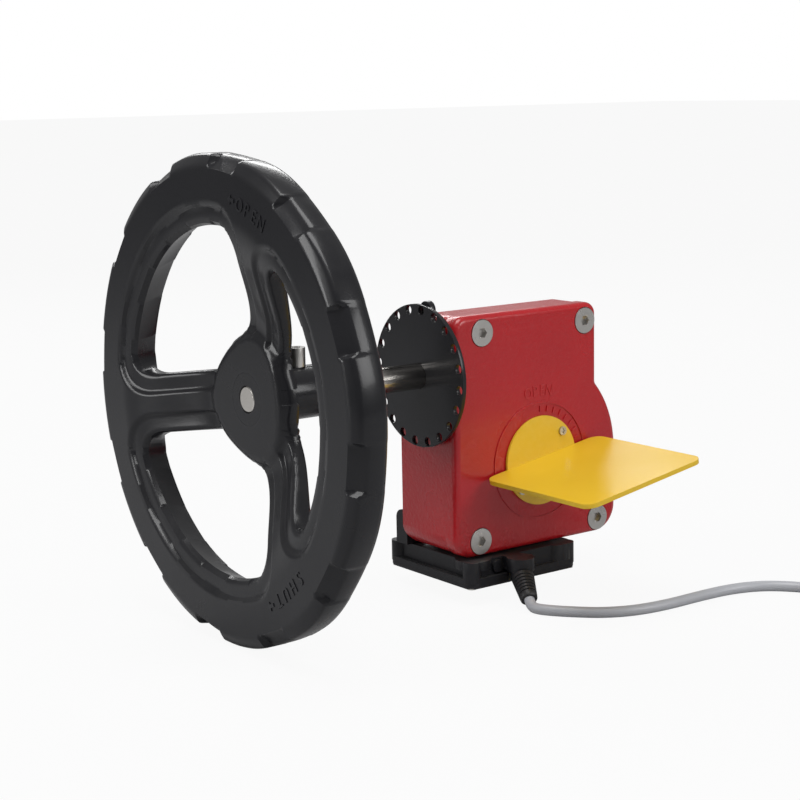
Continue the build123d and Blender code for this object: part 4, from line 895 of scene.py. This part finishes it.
@dataclass
class Lettering:
    """Raised words with an arrow, each letter set on an arc."""

    cap: float = 8.6
    relief: float = 0.5
    size_per_cap: float = 1.38
    narrowing: float = 0.82
    arrow_before: float = 1.15
    arrow_after: float = 0.05

    def letter(self, text: str, frame: Matrix) -> bpy.types.Object:
        """Models one raised letter.

        Args:
            text: the letter.
            frame: its place, with local z out of the surface, in metres.

        Returns:
            The letter's mesh.
        """
        deselect()
        bpy.ops.object.text_add()
        sign = bpy.context.object
        sign.data.body = text
        sign.data.size = self.cap * MM * self.size_per_cap
        sign.data.align_x = "CENTER"
        sign.data.extrude = self.relief * MM
        sign.data.resolution_u = 3
        bpy.ops.object.convert(target="MESH")
        sign = bpy.context.object
        sign.data.transform(Matrix.Diagonal((self.narrowing, 1, 1, 1)))
        sign.data.transform(frame)
        return sign

    def arrow(self, frame: Matrix, flip: float) -> bpy.types.Object:
        """Models a small raised arrow.

        Args:
            frame: its place, with local z out of the surface, in metres.
            flip: 1 for an arrow along local x, -1 for the other way.

        Returns:
            The arrow's mesh.
        """
        deselect()
        outline = ((-3.2, 1.1), (0.6, 1.1), (0.6, 2.9), (3.6, 0.0), (0.6, -2.9), (0.6, -1.1), (-3.2, -1.1))
        points = [(flip * x * MM, (y + self.cap / 2) * MM, 0) for x, y in outline]
        mesh = bpy.data.meshes.new("turn_arrow")
        mesh.from_pydata(points, [], [tuple(range(len(points)))])
        made = bpy.data.objects.new("turn_arrow", mesh)
        bpy.context.collection.objects.link(made)
        only(made)
        bpy.ops.object.mode_set(mode="EDIT")
        bpy.ops.mesh.select_all(action="SELECT")
        bpy.ops.mesh.extrude_region_move(TRANSFORM_OT_translate={"value": (0, 0, self.relief * MM)})
        bpy.ops.object.mode_set(mode="OBJECT")
        made.data.transform(frame)
        return made

    def word(
        self, text: str, place: Callable[[float], Matrix], first: float, step: float, arrow_first: bool
    ) -> bpy.types.Object:
        """Sets a word and its arrow along an arc.

        Args:
            text: the word.
            place: gives a letter's place at an angle.
            first: the angle of the word's middle letter gap, in degrees.
            step: degrees from letter to letter.
            arrow_first: whether the arrow comes before the word.

        Returns:
            The joined word.
        """
        start = first - step * (len(text) - 1) / 2
        letters = [self.letter(letter, place(start + step * i)) for i, letter in enumerate(text)]
        if arrow_first:
            letters.append(self.arrow(place(start - self.arrow_before * step), -1.0))
        else:
            letters.append(self.arrow(place(start + step * (len(text) + self.arrow_after)), 1.0))
        return joined(letters, f"raised_word_{text.lower()}")


def on_wheel(angle: float) -> Matrix:
    """Place of a letter on the rim's face.

    Args:
        angle: clockwise from the top, as seen from the hand side, in degrees.

    Returns:
        The letter's place in metres.
    """
    turn = math.radians(angle)
    outward = Vector((0, -math.sin(turn), math.cos(turn)))
    normal = Vector((-1, 0, 0))
    along = outward.cross(normal)
    where = Vector((RIM_FACE, SHAFT_Y, SHAFT_Z)) + outward * WHEEL_WORD_REACH
    return Matrix.Translation(where * MM) @ Matrix((along, outward, normal)).transposed().to_4x4()


def on_cover(angle: float) -> Matrix:
    """Place of a letter on the cover above the dial.

    Args:
        angle: clockwise from the top, in degrees.

    Returns:
        The letter's place in metres.
    """
    turn = math.radians(angle)
    outward = Vector((math.sin(turn), 0, math.cos(turn)))
    normal = Vector((0, -1, 0))
    along = outward.cross(normal)
    where = Vector((0, CASE_FRONT, 0)) + outward * COVER_WORD_REACH
    return Matrix.Translation(where * MM) @ Matrix((along, outward, normal)).transposed().to_4x4()


@dataclass
class RaisedWords:
    """The words on the wheel and on the cover."""

    wheel: Lettering = field(default_factory=Lettering)
    cover: Lettering = field(default_factory=lambda: Lettering(cap=7.6, relief=0.4))
    open_middle: float = 23.0
    open_step: float = 3.7
    shut_middle: float = 141.5
    shut_step: float = 4.4
    cover_first: float = -12.4
    cover_step: float = 7.4

    def build(self, shop: Paintshop) -> list[bpy.types.Object]:
        """Models the words.

        Args:
            shop: where their materials come from.

        Returns:
            The words.
        """
        opened = self.wheel.word("OPEN", on_wheel, self.open_middle, self.open_step, True)
        shut = self.wheel.word("SHUT", on_wheel, self.shut_middle, self.shut_step, False)
        made = []
        for word in (opened, shut):
            word.data.materials.append(shop.material(BlackEnamel()))
            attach(word, "input")
            made.append(word)
        letters = [
            self.cover.letter(letter, on_cover(self.cover_first + self.cover_step * i))
            for i, letter in enumerate("OPEN")
        ]
        dial = joined(letters, "cover_word_open")
        dial.data.materials.append(shop.material(RedEnamel()))
        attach(dial, "case")
        made.append(dial)
        for word in made:
            settle(word, 30.0)
        return made


@dataclass
class StrainRelief:
    """Ribbed rubber boot where the cable leaves the switch box."""

    gland: Point = (-29.7, -94.0, -67.8)
    tip: Point = (-41.0, -116.0, -81.3)
    start: float = 7.5
    root: float = 7.6
    end: float = 5.6
    ribs: int = 6
    plain: float = 5.0
    first_rib: float = 2.5
    rib_steps: tuple[tuple[float, float], ...] = (
        (0.0, 0.0), (0.1, 0.0), (0.2, 0.7), (0.4, 0.7), (0.5, 0.0), (0.8, 0.0),
    )

    def profile(self, length: float) -> list[Point]:
        """Half outline of the boot in its own XZ plane.

        Args:
            length: the boot's length.

        Returns:
            The points from the root's axis to the tip's axis.
        """
        points: list[Point] = [(0.0, 0.0, 0.0), (self.root - 0.5, 0.0, 0.0), (self.root, 0.0, 0.5)]
        body = length - self.plain
        pitch = body / self.ribs
        for rib in range(self.ribs):
            base = self.first_rib + rib * pitch
            for share, sunk in self.rib_steps:
                z = base + share * pitch
                outer = self.root + (self.end - self.root) * z / length
                points.append((outer - sunk, 0.0, z))
        points += [(self.end, 0.0, length - 0.8), (self.end - 0.7, 0.0, length), (0.0, 0.0, length)]
        return points

    def build(self, shop: Paintshop) -> bpy.types.Object:
        """Models the boot by spinning its outline.

        Args:
            shop: where its material comes from.

        Returns:
            The finished boot.
        """
        deselect()
        axis = Vector(self.tip) - Vector(self.gland)
        length = axis.length - self.start
        points = self.profile(length)
        mesh = bpy.data.meshes.new("strain_relief")
        mesh.from_pydata(points, [(i, i + 1) for i in range(len(points) - 1)], [])
        boot = bpy.data.objects.new("strain_relief", mesh)
        bpy.context.collection.objects.link(boot)
        only(boot)
        bpy.ops.object.mode_set(mode="EDIT")
        bpy.ops.mesh.select_all(action="SELECT")
        bpy.ops.mesh.spin(steps=48, angle=math.tau, center=(0, 0, 0), axis=(0, 0, 1))
        bpy.ops.mesh.select_all(action="SELECT")
        bpy.ops.mesh.remove_doubles(threshold=0.01)
        bpy.ops.object.mode_set(mode="OBJECT")
        turn = Vector((0, 0, 1)).rotation_difference(axis.normalized()).to_matrix().to_4x4()
        root = Vector(self.gland) + axis.normalized() * self.start
        boot.data.transform(Matrix.Diagonal((MM, MM, MM, 1)) @ Matrix.Translation(root) @ turn)
        settle(boot, 40.0)
        boot.data.materials.append(shop.material(BootRubber()))
        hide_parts("strain_relief_boot")
        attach(boot, "case")
        return boot


@dataclass
class SignalCable:
    """Grey signal cable: it leaves the boot, lies on the floor and ends in a tied coil."""

    radius: float = 3.5
    route: tuple[Point, ...] = (
        (-41.0, -116.0, -81.3),
        (-43.6, -121.1, -84.45),
        (-43.2, -127.8, -84.5),
        (-38.8, -135.8, -84.5),
        (-30.0, -147.0, -84.5),
        (-17.0, -160.5, -84.5),
        (2.5, -170.0, -84.5),
        (28.0, -173.5, -84.5),
        (56.0, -173.0, -84.5),
        (84.0, -174.5, -84.5),
        (106.0, -182.5, -84.5),
        (120.5, -198.0, -84.5),
        (127.0, -214.0, -84.2),
        (128.6, -230.0, -83.5),
    )
    tail: tuple[Point, ...] = (
        (212.6, -259.4, -76.5),
        (215.6, -250.9, -76.5),
        (218.1, -241.2, -77.0),
        (219.6, -231.3, -79.2),
        (220.2, -221.4, -82.0),
        (219.6, -211.5, -83.9),
        (218.0, -202.8, -84.5),
    )
    coil_centre: tuple[float, float] = (171.5, -245.0)
    lanes: tuple[tuple[float, float], ...] = ((43.5, -83.5), (36.5, -83.5), (36.5, -76.5), (43.5, -76.5))
    crossings: tuple[tuple[float, float], ...] = ((295.0, 45.0), (255.0, 40.0), (215.0, 40.0), (400.0, 1.0))
    coil_from: float = 160.7
    coil_turn: float = 1260.0
    coil_step: float = 15.0
    length: float = 1.16

    def coil(self) -> list[Point]:
        """Points of the coil's turns: each turn lies in its own lane and crosses to the next one."""
        points: list[Point] = []
        travelled = self.coil_step
        while travelled < self.coil_turn - self.coil_step / 2:
            turn, angle = divmod(travelled, 360)
            lane = int(turn)
            start, width = self.crossings[lane]
            share = ease((angle - start) / width)
            here, after = self.lanes[lane], self.lanes[min(lane + 1, len(self.lanes) - 1)]
            reach = here[0] + (after[0] - here[0]) * share
            height = here[1] + (after[1] - here[1]) * share
            around = math.radians(self.coil_from + travelled)
            x = self.coil_centre[0] + reach * math.cos(around)
            y = self.coil_centre[1] + reach * math.sin(around)
            points.append((x, y, height))
            travelled += self.coil_step
        return points

    def build(self, shop: Paintshop, nodes: dict[str, bpy.types.Object]) -> bpy.types.Object:
        """Models the cable as one smooth curve.

        Args:
            shop: where its material comes from.
            nodes: the frame's CAD nodes; not used.

        Returns:
            The cable.
        """
        points = [*self.route, *self.coil(), *self.tail]
        curve = bpy.data.curves.new("signal_cable", "CURVE")
        curve.dimensions = "3D"
        spline = curve.splines.new("NURBS")
        spline.points.add(len(points) - 1)
        for target, point in zip(spline.points, points):
            target.co = (*(value * MM for value in point), 1.0)
        spline.order_u = 3
        spline.use_endpoint_u = True
        spline.resolution_u = 8
        curve.bevel_depth = self.radius * MM
        curve.bevel_resolution = 6
        curve.use_fill_caps = True
        cable = bpy.data.objects.new("signal_cable", curve)
        bpy.context.collection.objects.link(cable)
        curve.materials.append(shop.material(CableGrey()))
        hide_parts("cable_tube", "cable_coil", "cable_tail")
        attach(cable, "case")
        return cable


@dataclass
class CarriedParts:
    """The CAD nodes that show as they are, dressed in their finishes."""

    finishes: tuple[Finish, ...] = (
        RedEnamel(), YellowEnamel(), BlackEnamel(), BlackMoulding(), Stainless(), GroundSteel(), Bronze(),
        GearIron(), SealRubber(), BootRubber(), CableGrey(), BoardGreen(), TerminalGrey(), CoreCopper(),
        TieBlack(),
    )
    edge: float = 0.35
    seam: float = 0.00001
    edge_steps: int = 3
    edge_angle: float = 35.0
    soft_edges: dict[str, float] = field(
        default_factory=lambda: {
            "gear_housing": 1.6, "flag_plate": 1.1, "indicator_disc": 0.5, "switch_box_body": 1.2,
            "locking_disc": 0.35, "housing_cover": 0.5, "lock_lug": 0.8,
        }
    )
    left_alone: tuple[str, ...] = ("worm", "sector_gear", "conductor_ends", "indicator_disc")

    def dress(self, frame: dict, shop: Paintshop) -> None:
        """Gives each CAD node its material, and softened edges to all but the nodes left alone.

        Args:
            shop: where the materials come from.
        """
        by_name = {finish.name: finish for finish in self.finishes}
        slots = {row["node"]: row["material_slot"] for row in frame["record"]["subparts"]}
        for name, node in frame["nodes"].items():
            material = shop.material(by_name[slots[name]])
            node.data.materials.clear()
            node.data.materials.append(material)
            if name in self.left_alone:
                continue
            weld = node.modifiers.new("closed_seams", "WELD")
            weld.merge_threshold = self.seam
            soft = node.modifiers.new("softened_edges", "BEVEL")
            soft.width = self.soft_edges.get(name, self.edge) * MM
            soft.segments = self.edge_steps
            soft.limit_method = "ANGLE"
            soft.angle_limit = math.radians(self.edge_angle)
            soft.use_clamp_overlap = True


@dataclass(frozen=True)
class Lamp:
    """One soft lamp: its name, its place and size in metres, and its power in watts."""

    name: str
    place: Point
    size: tuple[float, float]
    power: float


@dataclass
class Studio:
    """Camera, floor, backdrop and soft light."""

    place: Point = (-773.1, -975.3, 248.9)
    right: Point = (0.80368, -0.59474, -0.01957)
    down: Point = (-0.11811, -0.12720, -0.98482)
    ahead: Point = (0.58322, 0.79379, -0.17247)
    lens: float = 81.0
    floor_lift: float = 0.93
    surround: float = 0.24
    aim: Point = (-0.05, -0.05, 0.03)
    lamps: tuple[Lamp, ...] = (
        Lamp("top_box", (-0.35, -0.3, 1.5), (0.9, 0.9), 16.0),
        Lamp("left_box", (-1.9, 0.5, 0.7), (0.5, 1.2), 15.0),
        Lamp("front_box", (0.7, -1.8, 0.9), (0.9, 0.9), 15.0),
        Lamp("back_strip", (0.6, 1.5, 1.1), (1.4, 0.3), 11.0),
    )

    def camera(self) -> None:
        """Sets the camera up."""
        data = bpy.data.cameras.new("view")
        data.lens = self.lens
        data.sensor_width = 36.0
        data.clip_start = 0.01
        data.clip_end = 50.0
        eye = bpy.data.objects.new("view", data)
        bpy.context.collection.objects.link(eye)
        axes = Matrix((Vector(self.right), -Vector(self.down), -Vector(self.ahead))).transposed()
        eye.matrix_world = Matrix.Translation(Vector(self.place) * MM) @ axes.to_4x4()
        bpy.context.scene.camera = eye

    def hang(self, lamp: Lamp) -> None:
        """Hangs one soft lamp.

        Args:
            lamp: the lamp.
        """
        data = bpy.data.lights.new(lamp.name, "AREA")
        data.shape = "RECTANGLE"
        data.size, data.size_y = lamp.size
        data.energy = lamp.power
        hung = bpy.data.objects.new(lamp.name, data)
        bpy.context.collection.objects.link(hung)
        turn = (Vector(self.aim) - Vector(lamp.place)).to_track_quat("-Z", "Y")
        hung.matrix_world = Matrix.Translation(lamp.place) @ turn.to_matrix().to_4x4()

    def floor(self, shop: Paintshop) -> None:
        """Lays the pale floor.

        Args:
            shop: where its material comes from.
        """
        deselect()
        bpy.ops.mesh.primitive_plane_add(size=40.0, location=(0, 0, FLOOR_Z * MM - FLOOR_GAP))
        ground = bpy.context.object
        ground.name = "floor"
        ground.data.materials.append(self.lit_floor(shop.material(FloorWhite())))

    def lit_floor(self, paint: bpy.types.Material) -> bpy.types.Material:
        """Lifts the floor's tone towards white where it is seen directly.

        Args:
            paint: the floor's material.

        Returns:
            The same material.
        """
        nodes, link = paint.node_tree.nodes, paint.node_tree.links.new
        path = nodes.new("ShaderNodeLightPath")
        share = nodes.new("ShaderNodeMath")
        share.operation = "MULTIPLY"
        share.inputs[1].default_value = self.floor_lift
        glow = nodes.new("ShaderNodeEmission")
        glow.inputs["Strength"].default_value = 1.0
        blend = nodes.new("ShaderNodeMixShader")
        link(path.outputs["Is Camera Ray"], share.inputs[0])
        link(share.outputs["Value"], blend.inputs["Fac"])
        link(nodes["Principled BSDF"].outputs["BSDF"], blend.inputs[1])
        link(glow.outputs["Emission"], blend.inputs[2])
        link(blend.outputs["Shader"], nodes["Material Output"].inputs["Surface"])
        return paint

    def sky(self) -> bpy.types.World:
        """Pale surroundings: white where seen directly, dimmer in reflections.

        Returns:
            The world.
        """
        world = bpy.data.worlds.new("studio")
        world.use_nodes = True
        nodes, link = world.node_tree.nodes, world.node_tree.links.new
        path = nodes.new("ShaderNodeLightPath")
        strength = nodes.new("ShaderNodeMapRange")
        strength.inputs["To Min"].default_value = self.surround
        strength.inputs["To Max"].default_value = 1.0
        nodes["Background"].inputs["Color"].default_value = (1.0, 1.0, 1.0, 1.0)
        link(path.outputs["Is Camera Ray"], strength.inputs["Value"])
        link(strength.outputs["Result"], nodes["Background"].inputs["Strength"])
        return world

    def build(self, shop: Paintshop) -> None:
        """Sets up everything but the camera.

        Args:
            shop: where the floor's material comes from.
        """
        self.floor(shop)
        for lamp in self.lamps:
            self.hang(lamp)
        scene = bpy.context.scene
        scene.world = self.sky()
        scene.view_settings.view_transform = "Standard"


def main() -> None:
    """Builds the looks in order."""
    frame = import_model()
    shop = Paintshop()
    studio = Studio()
    studio.camera()
    made: list[bpy.types.Object] = [SignalCable().build(shop, frame["nodes"])]
    CarriedParts().dress(frame, shop)
    made.append(Handwheel().build(shop))
    made += RaisedWords().build(shop)
    made.append(StrainRelief().build(shop))
    studio.build(shop)


if __name__ == "__main__":
    main()
